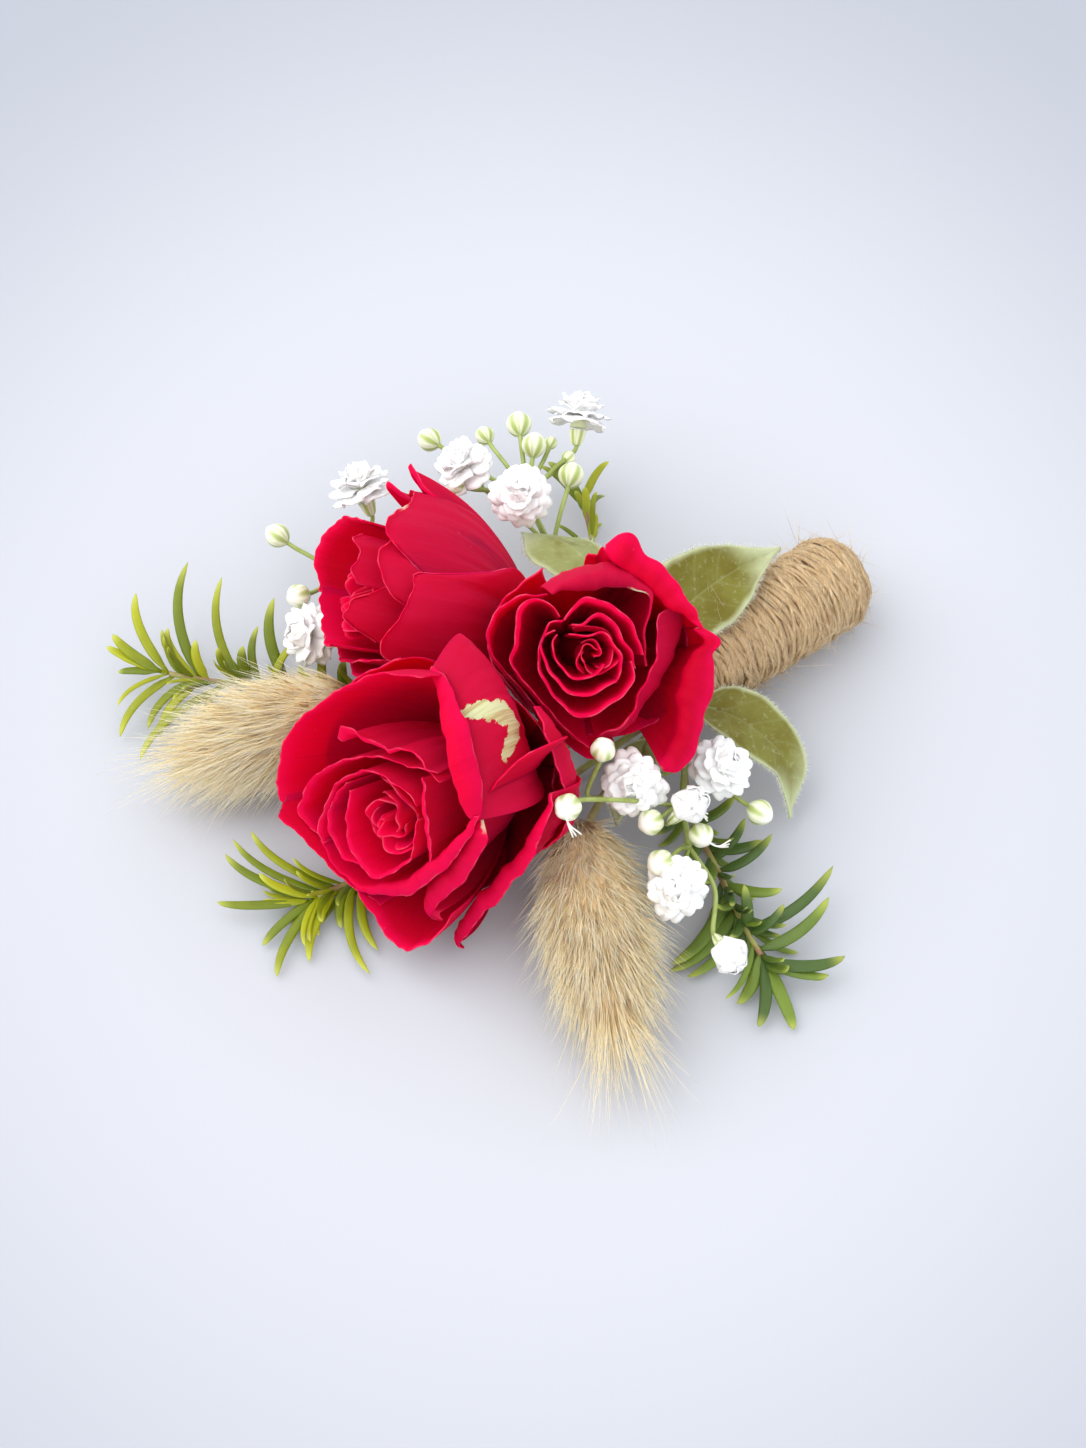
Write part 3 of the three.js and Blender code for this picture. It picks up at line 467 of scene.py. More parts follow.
class BoutonniereSizes(bpy.types.PropertyGroup):
    """Sizes and counts of the fine pieces"""

    petal: size_setting("Petal", "Thickness of a rose petal at its heel", 0.34)
    ruffle: size_setting("Ruffle", "How far the rim of a petal waves", 0.16)
    twine: size_setting("Twine", "Thickness of the jute twine", 0.88)
    hair: size_setting("Hair", "Thickness of a hair of the grass heads at its root", 0.15)
    hair_count: IntProperty(
        name="Hairs", description="Hairs on each grass head", default=10000, min=100, max=12000,
    )
    fibre_count: IntProperty(
        name="Fibres", description="Loose fibres on the twine", default=1500, min=0, max=8000,
    )


class BoutonniereColours(bpy.types.PropertyGroup):
    """Main colours of the pieces"""

    petal: colour_setting("Petal", "Lit inner face of a rose petal", (0.74, 0.0, 0.032))
    # Painted shade at a petal's heel, deep in the bloom; also the colour of its darker veins
    petal_shade_and_vein: colour_setting("Deep petal", "Heel of a rose petal", (0.2, 0.0, 0.006))
    petal_back: colour_setting("Petal back", "Outer face of a rose petal", (0.5, 0.003, 0.033))
    # A painted highlight along the thin rim of a rose petal
    petal_rim_highlight: colour_setting("Petal rim", "Thin pale rim of a rose petal", (0.95, 0.09, 0.16))
    torn: colour_setting("Torn patch", "Bare tissue where a petal is torn", (0.62, 0.58, 0.33))
    rose_green: colour_setting("Rose green", "Stems and sepals of the roses", (0.16, 0.24, 0.055))
    down: colour_setting("Down", "Hairs of the grass heads", (1.0, 0.75, 0.42))
    straw: colour_setting("Straw", "Stems of the grass heads", (0.42, 0.36, 0.13))
    rosemary: colour_setting("Rosemary", "Needles of the left sprigs", (0.3, 0.33, 0.005))
    rosemary_dark: colour_setting("Dark rosemary", "Needles of the right sprig", (0.13, 0.2, 0.022))
    breath_green: colour_setting("Twigs", "Twigs and buds of the baby's breath", (0.36, 0.44, 0.12))
    breath_white: colour_setting("Florets", "Petals of the baby's breath", (0.96, 0.96, 0.94))
    leaf: colour_setting("Leaf", "Face of a downy leaf", (0.15, 0.13, 0.014))
    leaf_pale: colour_setting("Leaf margin", "Margin and veins of a downy leaf", (0.52, 0.57, 0.34))
    jute: colour_setting("Jute", "Twine of the handle", (0.56, 0.385, 0.2))
    floor: colour_setting("Floor", "The surface that the bunch lies on", (0.53, 0.545, 0.585))


# The handle

# A strand's sides and plies, how deep the plies are cut, how many thicknesses they take to twist once,
# how much the strand swells, and the pitch and the depth of the close wind in thicknesses
STRAND = Sizes(sides=7, plies=2, ply_depth=0.16, twist=4.2, swell=0.08, close=0.93, sunk=0.42)
CROSSING_PITCHES = (3.3, -4.1, 5.2, -6.1, 7.4, -3.7, 4.6, -8.2, 6.6)
FIBRE_RADIUS = 0.045


def in_handle(along, aside, up):
    """A point by its distance along the handle's axis from the mouth, its distance to the side and its
    height square to the axis."""
    along, aside, up = (np.asarray(part, float)[..., None] for part in (along, aside, up))
    mouth = np.array([0, 0, HANDLE.mouth_height])
    return mouth + along * ALONG_HANDLE + aside * np.array([0, 1, 0]) + up * UP_FROM_HANDLE


def slot_points(turn, ring):
    """The first points of a stem, straight inside the handle at a radius ring and an angle turn."""
    return list(in_handle(SLOT_POINTS, ring * math.cos(turn), ring * math.sin(turn)))


def thin_slot(index):
    """Where thin stem number index lies in the ring of thin stems."""
    return slot_points(math.pi / 2 - 2 * math.pi * index / STEM.thin_count, STEM.thin_ring)


def wrap_outline(travelled):
    """Distance along the axis and radius of the wound surface, by the distance travelled over it, and the
    whole distance from the mouth to the middle of the end."""
    body = np.linspace(0, DOME_START, 24)
    swell = HANDLE.mouth_radius + (HANDLE.end_radius - HANDLE.mouth_radius) * smooth(body, 0, DOME_START)
    quarter = np.linspace(0, math.pi / 2, 12)[1:]
    along = np.concatenate([body, DOME_START + HANDLE.dome * np.sin(quarter) ** 1.25])
    radius = np.concatenate([swell, HANDLE.end_radius * np.cos(quarter) ** 0.62 + 0.35])
    length = np.concatenate([[0], np.cumsum(np.hypot(np.diff(along), np.diff(radius)))])
    return np.interp(travelled, length, along), np.interp(travelled, length, radius), length[-1]


def wind(skin, turns, pitch, start, lift, twine, phase, rng, loose=1.0):
    """A strand wound over the wrap. At a turn angle w it has travelled start + pitch w / 2 pi plus a slow
    wander, and stands lift over the wrap plus a small tremble. Its section is round and cut by plies that
    twist along it."""
    steps = int(turns * (40))
    w = np.linspace(0, turns * 2 * np.pi, steps)
    wander = 0.3 * np.sin(0.37 * w + phase) + 0.22 * np.sin(1.31 * w + 2 * phase)
    travelled = start + pitch * w / (2 * np.pi) + loose * (wander + 0.12 * np.sin(3.3 * w))
    along, radius, _ = wrap_outline(travelled)
    radius = radius + lift + 0.12 * np.sin(5.1 * w + phase) + rng.normal(0, 0.015, steps)
    turn = w + phase
    path = in_handle(along, radius * np.cos(turn), radius * np.sin(turn))
    path = pressed(path, [plane(*TABLE, twine / 2, 0.6)])
    gone = np.concatenate([[0], np.cumsum(np.linalg.norm(np.diff(path, axis=0), axis=1))])[:, None]
    around = angles_round(STRAND.sides)[None]
    twisted = around - 2 * np.pi * gone / (STRAND.twist * twine)
    plies = 1 + STRAND.ply_depth * np.cos(STRAND.plies * twisted)
    swell = 1 + STRAND.swell * np.sin(0.9 * gone + phase)
    grid = tube(path, 0.5 * twine * plies * swell, STRAND.sides)
    skin.rings(grid, along=gone, around=around / (2 * np.pi), strand=phase)


def loose_fibres(skin, whole, count, rng):
    """Fibres that stand off the twine: each sets out round the handle, leans outwards and along, and
    bends at random. Those that would reach under the table are left out."""
    travelled = rng.uniform(0.5, whole - 1, count)
    turn = rng.uniform(0, 2 * np.pi, count)
    along, radius, _ = wrap_outline(travelled)
    roots = in_handle(along, (radius + 0.2) * np.cos(turn), (radius + 0.2) * np.sin(turn))
    out = unit(roots - in_handle(along, 0, 0))
    wound = np.cross(np.broadcast_to(ALONG_HANDLE, out.shape), out)
    lean = rng.normal(0, 0.45, (count, 1)) * ALONG_HANDLE
    ways = unit(wound * rng.choice([-1, 1], (count, 1)) + out * rng.uniform(0.05, 0.9, (count, 1)) + lean)
    lengths = rng.gamma(2.2, 1.15, count) + 0.8
    bends = (rng.normal(0, 0.32, (count, 3)) - out * 0.12) * lengths[:, None]
    tips = roots + ways * lengths[:, None] + bends
    kept = (roots[:, 2] > 0.4) & (tips[:, 2] > 0.2)
    tone = np.repeat(rng.uniform(0, 1, (count, 1))[kept], 4, axis=1)
    roots, ways, lengths, bends = roots[kept], ways[kept], lengths[kept], bends[kept]
    hairs(skin, roots, ways, lengths, FIBRE_RADIUS, bends, (0, 0.35, 0.7), strand=tone)


class BOUTONNIERE_OT_handle(bpy.types.Operator):
    """Wind the handle with jute twine and its loose fibres"""

    bl_idname = "boutonniere.handle"
    bl_label = "Twine handle"

    def execute(self, context):
        sizes, colours = context.scene.boutonniere_sizes, context.scene.boutonniere_colours
        rng = np.random.default_rng(7)
        twine = sizes.twine / MM
        skin = Skin("along", "around", "strand")
        _, _, whole = wrap_outline(0)

        # A plain sleeve under the strands closes the gaps between them
        along, radius, _ = wrap_outline(np.linspace(0.2, whole, 40))
        turn = angles_round(32)
        radius = np.maximum(radius - 0.75 * twine, 0.05)[:, None]
        sleeve = in_handle(along[:, None] - 0.3 * twine, radius * np.cos(turn), radius * np.sin(turn))
        skin.rings(pressed(sleeve[:, ::-1], [plane(*TABLE, 0.1, 0.5)]), strand=9.0)

        close = STRAND.close * twine
        wind(skin, whole / close - 0.3, close, 0.2, -STRAND.sunk * twine, twine, 0.4, rng)
        for k, pitch in enumerate(CROSSING_PITCHES):
            start = 1.2 if pitch > 0 else whole - 3.5
            turns = (whole - 5.5) / abs(pitch)
            lift = 0.13 * (k % 3) - 0.1
            wind(skin, turns, pitch, start, lift, (0.6 + 0.1 * (k % 3)) * twine, 1.7 * k + 2.6, rng, 2.6)
        skin.piece("jute_wrap", twine_finish(colours), "jute", "twine_wrap")

        fuzz = Skin("along", "strand")
        loose_fibres(fuzz, whole, sizes.fibre_count // (1), rng)
        fuzz.piece("jute_fibres", fibre_finish(colours), "jute")
        return {"FINISHED"}


def twine_finish(colours):
    """Jute: fibres run along the strand, twisted, in tan of many depths, with painted shade between the
    plies.
    """
    f = Finish("jute_twine", {"Specular IOR Level": 0.25, "Sheen Weight": 0.15})
    along, around, strand = f.mark("along"), f.mark("around"), f.mark("strand")
    lay = around * 2 - along * 0.45
    fibre = f.noise(f.triple(lay * 9, along * 0.55, strand * 3), 1.0, 4.0, 0.6)
    broad = f.noise(f.place(), 420.0, 2.0)
    colour = f.layers(
        opaque(colours.jute),
        ((0.86, 0.68, 0.42, 1), f.smooth(fibre, 0.45, 0.75)),
        # Painted shade in the dips of the fibre relief, between the plies
        ((0.26, 0.14, 0.045, 1), f.smooth(fibre, 0.48, 0.25) * 0.75),
        ((0.42, 0.24, 0.09, 1), f.smooth(broad, 0.5, 0.75) * 0.5),
    )
    return f.finish(colour, 0.75 + fibre * 0.2, fibre, 0.9, 0.0002)


def fibre_finish(colours):
    """Loose jute fibres, paler to their tips."""
    f = Finish("jute_fibre", {"Specular IOR Level": 0.3})
    tone = f.mark("strand") * 0.6 + f.mark("along") * 0.4
    colour = f.mix(opaque(colours.jute), (0.9, 0.78, 0.56, 1), tone)
    return f.finish(colour, 0.7)


# Roses


def petal(*rim, **rest):
    """A petal by the points of its rim from corner to corner: turn round the rose's axis in degrees,
    radius, height and, where the rim rolls over, the length that is rolled. belly is how full it is,
    swell how far each corner's side bulges, roll the angle in degrees by which the rim turns over and
    the painted shade setting how far painted shade darkens the petal away from its rim, for petals that
    lie less lit. scars lie at a place across it and have a width, and torn is a path."""
    plain = dict(belly=0.85, swell=(0, 0), roll=110, ruffle=1, shade=0, scars=(), torn=None)
    return Sizes(rim=[(*point, 0.3)[:4] for point in rim], **{**plain, **rest})


# A rose by the point under its bloom, the way it faces, the angle in degrees at which its stem lies in
# the handle, the stem's path, the neighbours that it presses on, its heart and its petals from the inner
# ones to the outer. A heart by its height, radius and windings, where it starts in degrees, and the way
# in degrees and the length by which it leans.
ROSES = {
    "front": Sizes(
        base=(-30.5, 4.8, 13.5), faces=(-0.92, -0.018, 0.392), slot=-150, seed=3,
        stem=((-12, 1.6, 9.2), (-20, 3.6, 9.6)),
        neighbours=(below(*FRONT_UPPER), below(*FRONT_BACK), plane(*FRONT_UNDERSIDE)),
        heart=Sizes(height=25.5, outer=5.2, windings=2.1, first=20, lean=(186, 1.9)),
        petals=(
            petal((100, 7, 26), (140, 8.3, 26, 0.5), (165, 9.8, 26, 0.7), (185, 10.6, 25.8, 0.7),
                  (203, 9.2, 25.8, 0.7), (227, 7.6, 25.8, 0.6), (255, 6.6, 26, 0.4), (277, 6.1, 26),
                  (300, 6.2, 26), roll=70),
            petal((-41, 6.7, 25.8), (-15, 6.2, 26, 0.4), (10, 5.9, 26.2, 0.5), (45, 6.3, 26.2, 0.5),
                  (75, 7.4, 26.2, 0.5), (100, 9.2, 26, 0.6), (120, 11.3, 25.6, 0.8), (135, 14, 25.4, 1),
                  (147, 16.4, 25, 0.5), roll=60),
            petal((95, 8.2, 25.8), (112, 9.6, 25.8, 0.5), (128, 11.4, 25.6, 0.7), (146, 13, 25.4, 0.7),
                  (160, 12.8, 25.4, 0.5), (172, 11.2, 25.4), roll=60),
            petal((257, 9.4, 25, 0.5), (278, 8, 25.2, 1.5), (300, 7.6, 25.5, 1.8), (325, 8.4, 25.5, 1.6),
                  (340, 10.2, 25.5, 0.8), roll=80),
            petal((-24, 12.8, 25, 0.3), (-8, 11.7, 25.4, 0.8), (4, 11.5, 25.6, 0.3), (18, 10.1, 25.8, 1),
                  (33, 10.2, 25.8, 1.2), (46, 11.4, 26, 1.6), (54, 12.8, 26.3, 2.2), (60, 12, 26.6, 1),
                  roll=70, ruffle=1.6),
            petal((-30, 12.5, 25), (-19, 11.6, 25.4), (2, 9.2, 25.6, 0.3), (30, 8.4, 25.8, 0.4),
                  (55, 8.8, 25.8, 0.4), (76, 9.7, 25.8, 0.6), (102, 13, 25.6, 1), (118, 15.8, 25.2, 1.2),
                  (129, 18.4, 24.8, 1.2), (138, 17.8, 24.6, 1), (146, 16, 24.4, 0.5), roll=50),
            petal((146, 18, 24.6, 0.6), (161, 18, 24.6, 1), (177, 15.2, 24.6, 1.4), (195, 12, 24.6, 2.2),
                  (225, 9.8, 24.6, 2.8), (255, 9.2, 24.6, 2.8), (285, 11.7, 24.4, 2.6), (307, 16.2, 24, 1.2),
                  roll=110),
            petal((303, 15.5, 23.6, 0.5), (306, 15.2, 24, 2.6), (313, 14.8, 24, 4.6), (325, 14.9, 23.9, 6),
                  (343, 16.3, 22.9, 6.2), (354, 17.1, 21.6, 5.4), (363, 18.2, 20, 4.4),
                  (371, 19.4, 18.8, 2.8), (378, 20.2, 18, 0.8), roll=205, belly=1, swell=(0.34, 0.32),
                  ruffle=0.7,
                  torn=((352, 0.72, 1.1), (347, 0.6, 1.6), (340, 0.47, 2.0), (327, 0.6, 0.9))),
            petal((290, 13, 5), (318, 14.5, 5), (345, 15, 5), (372, 15, 5), (400, 14, 6), (425, 13, 7),
                  belly=1),
            petal((229, 16, 22.5, 1.5), (223, 14.2, 22.5, 3.2), (229, 12, 22.5, 4), (256, 10.9, 22.5, 4.2),
                  (280, 12.2, 22.5, 4.4), (298, 14, 22.5, 4), (306, 14.6, 21.6, 0.6), (314, 16.4, 21, 0.4),
                  (321, 19.6, 20, 0.4), (325, 24, 18, 0.4),
                  belly=0.95, swell=(0, 0.15), roll=125, shade=0.35, scars=((0.24, 0.06),)),
            petal((10, 22, 23.5), (25, 20.9, 24.5, 0.6), (43, 19, 25, 0.8), (68, 18.4, 25, 0.8),
                  (90, 20.2, 25, 0.8), (97, 21.3, 25, 0.8), (119, 22.8, 25, 0.8), (130, 24.6, 24.6, 0.5),
                  belly=0.8, roll=25, ruffle=0.8),
            petal((126, 24, 23.5, 1.6), (133, 26, 24, 2.6), (138, 29, 24, 2.6), (143, 29, 24, 1.6),
                  (151, 27, 24, 0.4), (166, 22.4, 24), (176, 19.8, 23.5), (188, 18, 23),
                  belly=0.75, roll=-80, ruffle=0.8, shade=0.3),
            petal((166, 18.5, 23.5), (177, 19.3, 24), (187, 20.2, 24, 0.6), (196, 21.7, 24, 0.8),
                  (204, 21.8, 24, 0.8), (213, 20.8, 24, 0.6), (224, 19.2, 23.5), (236, 17, 22),
                  belly=0.75, roll=40, shade=0.45),
            petal((203, 28, 14, 0.4), (208, 25.5, 15, 2), (215, 20.8, 16, 3), (232, 16.6, 16, 3.4),
                  (257, 15.6, 16, 3.4), (279, 17.4, 16, 3.4), (295, 19.8, 15.5, 3), (308, 22, 14, 1),
                  belly=0.9, swell=(0, 0.15), roll=120, ruffle=1.3, shade=0.4),
            petal((255, 14, 9), (268, 16, 10), (282, 19, 11), (296, 21.5, 11.5), (308, 22, 12),
                  (322, 22, 12), (340, 22, 11), belly=1),
            petal((40, 20, 16), (70, 20, 18), (100, 21, 18), (130, 21, 17), (160, 20, 16), (190, 18, 14),
                  (220, 16, 12), (250, 15, 9), belly=0.9),
        ),
    ),
    "back": Sizes(
        base=(-11.6, 19.6, 11.9), faces=(-0.705, 0.613, 0.356), slot=-30, seed=5,
        stem=((-4, 3, 9.2), (-5.6, 10, 8.6)),
        neighbours=(plane(*FRONT_BACK), below(*BACK_UPPER), plane(*BACK_UNDERSIDE)),
        heart=Sizes(height=30.3, outer=5, windings=1.6, first=80, lean=(300, 1)),
        petals=(
            petal((-25, 8.5, 31), (-9, 8.6, 32), (10, 8.8, 31, 0.3), (26, 9, 31.8, 0.5), (40, 9.3, 30.5, 0.3),
                  (55, 9.4, 29.5), (75, 9, 29.5), roll=60, ruffle=1.4),
            petal((142, 13.6, 31), (152, 12, 31.2), (168, 9.4, 31.2), (195, 7.4, 31.4), (230, 7.6, 31.6),
                  (262, 8.5, 32), ruffle=1.2),
            petal((40, 11.3, 30.3), (62, 11.6, 30.8, 0.6), (86, 12.5, 31.2, 1), (101, 13.2, 31.8, 1),
                  (114, 13.8, 32.2, 1), (128, 14, 32, 0.6), (140, 14, 31.3), (148, 13.6, 31), roll=40,
                  shade=0.5),
            petal((160, 17, 27.8), (169, 13.7, 28.3), (186, 10.8, 28.3, 0.5), (224, 9.4, 28.3, 0.8),
                  (255, 9.6, 27.5, 0.8), (272, 11.4, 26.8, 0.5), (284, 13, 25.4), roll=50),
            petal((288, 10.4, 26.5), (295, 10.8, 29), (301, 11.2, 31.6), (306, 11.3, 33), (312, 10.9, 32.4),
                  (318, 10.4, 32, 0.5), (326, 10.4, 29.6, 0.6), (333, 10.8, 27.8), (340, 11, 25),
                  roll=70),
            petal((318, 13.4, 20), (322, 13.5, 23.5, 0.4), (327, 13.6, 26.4, 0.8), (333, 13.6, 28, 1),
                  (342, 13.6, 29.2, 1.1), (352, 13.6, 29.4, 0.9), (363, 13.6, 28, 0.6), (375, 13.8, 26, 0.4),
                  (386, 14, 23), roll=80, swell=(0.12, 0.12)),
            petal((-26, 13.4, 17), (-14, 14, 23.5), (-6, 14.6, 26.6), (0, 15, 28.4, 0.5), (9, 15.2, 28.8, 1),
                  (17, 15.2, 27.8, 1), (28, 15.4, 25.8, 0.6), (41, 16, 24, 0.5), (52, 17, 23),
                  (66, 17.5, 22.6), (85, 17, 22), roll=70, swell=(0.1, 0.05), scars=((0.12, 0.05),)),
            petal((284, 15, 19), (288, 15.3, 22.6, 0.4), (293, 15.6, 25.8, 0.9), (299, 15.8, 27, 1),
                  (306, 15.8, 26.8, 1), (311, 15.8, 25.9, 0.8), (324, 15.8, 25.2, 0.5), (334, 16, 24.4),
                  (340, 16, 25), (342, 16.2, 22), (346, 16.8, 16), (352, 17, 10), roll=80,
                  swell=(0.12, 0.12)),
            petal((158, 13.6, 26.5), (167, 16.6, 28.4, 0.6), (172, 20, 29.2, 1), (178, 16.6, 28.8, 0.6),
                  (190, 13.2, 28), (207, 11.4, 27, 0.4), (235, 11, 26, 0.8), (257, 11, 25, 0.8),
                  (272, 12.4, 22.4, 0.4), (286, 13.6, 19), roll=60),
            petal((48, 16.4, 19), (52, 18, 22.4, 0.8), (56, 20.4, 24.4, 1), (60, 19, 23, 0.8),
                  (66, 16.4, 19), belly=0.7, roll=120, ruffle=0.6),
            petal((56, 14.4, 20), (60, 16, 24, 0.8), (63, 17.6, 26.6, 1), (68, 16.4, 25, 0.8),
                  (78, 14.4, 20), belly=0.7, roll=100, ruffle=0.8),
            petal((70, 15, 20), (100, 15.5, 23), (130, 15.5, 24), (160, 14, 22), (190, 13, 20),
                  (230, 13, 18), (270, 14, 15), belly=0.9),
        ),
    ),
    "upper": Sizes(
        base=(-12.3, 10, 19.3), faces=(-0.308, -0.522, 0.796), slot=90, seed=8,
        stem=((-5, 3, 12.6), (-9.2, 8.8, 13.8)),
        neighbours=(plane(*FRONT_UPPER), plane(*BACK_UPPER), plane(*UPPER_UNDERSIDE)),
        heart=Sizes(height=19.6, outer=3.4, windings=1.5, first=230, lean=(150, 0.8)),
        petals=(
            petal((56, 6.5, 20), (64, 7.4, 20), (72, 7.7, 20.2, 0.3), (90, 7.5, 20.2, 0.5),
                  (112, 7.2, 20.2, 0.6), (137, 6.9, 20.2, 0.6), (157, 6.5, 20.2, 0.6), (181, 5.6, 20.2, 0.5),
                  (205, 5.1, 20), roll=70),
            petal((200, 5.2, 19.8), (220, 4.7, 20.3, 0.3), (240, 3.9, 20.5, 0.4), (276, 2.4, 20.5, 0.4),
                  (330, 2.2, 20.5, 0.3), (395, 2.8, 20.5, 0.3), (412, 4.6, 20.4), roll=60, ruffle=1.4),
            petal((60, 5.6, 19.2), (72, 6.2, 19.6), (90, 6, 19.8, 0.3), (110, 5.6, 19.8, 0.4),
                  (136, 4.8, 19.8, 0.5), (165, 3.6, 19.8, 0.4), (200, 2.6, 19.6), roll=60),
            petal((40, 6.1, 19.6), (53, 7.5, 19.8, 0.3), (83, 8.1, 19.8, 0.5), (118, 8.6, 19.8, 0.7),
                  (137, 9.1, 19.8, 0.8), (160, 9.3, 19.8, 0.9), (185, 7.8, 19.8, 0.8), (220, 6.6, 19.8, 0.6),
                  (242, 5.5, 19.6, 0.3), roll=60),
            petal((235, 6, 19.6), (255, 4.9, 20, 0.4), (296, 3.9, 20.2, 0.6), (342, 4.5, 20.2, 0.7),
                  (384, 4.3, 20.3, 0.5), (396, 5, 20), roll=70, ruffle=1.6),
            petal((254, 6.9, 19.4), (286, 5.9, 19.8, 0.5), (317, 5.9, 20, 0.8), (345, 6.5, 20, 1),
                  (362, 6.8, 20, 1), (380, 6.4, 20, 0.7), (398, 6.1, 20), roll=70),
            petal((38, 6.5, 18.5), (36, 9.2, 18.2, 0.4), (43, 11.3, 18, 0.8), (57, 11.4, 18, 1.2),
                  (75, 11.1, 18, 1), (89, 11.9, 18, 1), (107, 12.1, 18, 1), (131, 11.8, 18, 0.8),
                  (145, 12.9, 17.6, 0.8), (158, 13.6, 17.2, 0.6), (170, 14.2, 16.6), roll=60, ruffle=1.3),
            petal((243, 7.8, 17.6), (272, 7.5, 18), (287, 8.4, 18.2), (299, 10.4, 18.2), (308, 11.7, 18, 1),
                  (326, 11.9, 18, 2.6), (337, 11.6, 18, 3.2), (358, 10.8, 18, 2.8), (375, 10.4, 18, 1.5),
                  (389, 10.1, 17.8), roll=-120, belly=1, swell=(0.1, 0.2), scars=((-0.1, 0.1),)),
            petal((175, 12.5, 17), (187, 11.8, 17.4, 0.5), (202, 10.4, 17.8, 0.6), (213, 9.3, 18, 0.6),
                  (230, 8.8, 18.2, 0.5), (247, 8.6, 18.2, 0.5), (265, 9.2, 18, 0.4), (289, 10.6, 17.6),
                  roll=60, belly=1, swell=(0.1, 0.7), ruffle=1.4),
            petal((30, 9.8, 15.5), (37, 10.8, 15.5, 0.4), (43, 12.4, 15.5, 0.7), (55, 13.8, 15.3, 0.9),
                  (72, 14.9, 15, 0.9), (90, 14.8, 15, 0.9), (114, 13.3, 15, 0.8), (136, 15.2, 15, 0.6),
                  (147, 16, 14.5), roll=50),
            petal((272, 15.6, 16.6, 0.5), (282, 13.8, 17, 2.4), (294, 12.3, 17, 4), (308, 11.7, 17, 4.6),
                  (322, 12, 17, 4.6), (331, 12.4, 17, 6.4), (338, 13, 17, 5.4), (344, 14, 16.6, 1),
                  roll=120, belly=1, swell=(0.1, 0.1), ruffle=1.5, shade=0.35),
            petal((201, 19.5, 15.5, 2), (207, 18.3, 16, 4.4), (223, 16, 16, 5), (234, 13.8, 16, 6),
                  (248, 13.7, 16, 5.6), (258, 14.8, 16, 3.6), (264, 16.2, 16, 3), (272, 15, 15.6, 1.6),
                  roll=130, belly=1, swell=(0, 0.1), ruffle=1.2, shade=0.45),
            petal((140, 14, 9.5), (152, 15, 10, 0.5), (162, 16.6, 10.3, 1), (168, 17.2, 10.2, 1),
                  (176, 16.2, 10, 1), (186, 15, 9.5), roll=60, ruffle=1.8),
            petal((20, 13, 10), (50, 14, 11), (80, 14.5, 11), (110, 13.5, 10), (140, 13, 9), belly=1),
            petal((170, 14, 8), (200, 15, 9), (230, 15, 9), (260, 15, 9), (290, 14.5, 9), (320, 14, 9),
                  (350, 13.5, 9), belly=1),
        ),
    ),
}
# The hip under a bloom, with its radii at its foot, where it is swollen and at its top. A sepal's spine by
# its radius round the rose's axis and its height along it, and half its turn round the axis in radians
# at its foot, at 0.4 of its length and at its tip.
HIP = Sizes(length=5.4, swollen_at=2.2, radii=(1.2, 2.5, 1.9), core_depth=0.6)
SEPAL = Sizes(
    count=5, ring=(1.6, 3.1, 3.3), height=(-2.2, -4.2, -8.6), half_turn=(0.6, 0.42, 0.12), thickness=0.4,
)
# A plain core in a rose's heart: shares of its height, and there its radius over the heart's own
HEART_CORE = Sizes(share=(-0.02, 0.08, 0.2, 0.32, 0.5, 0.7), breadth=(0.25, 0.8, 1.05, 1.15, 0.8, 0.3))
WHOLE = -3.0  # how far a place is torn where it isn't


def rose_frame(rose):
    """The rose's base and its three directions: its top side, its left side and the way it faces."""
    axis = unit(np.array(rose.faces, float))
    top = sideways(axis)
    return np.array(rose.base, float), np.stack([top, np.cross(axis, top), axis])


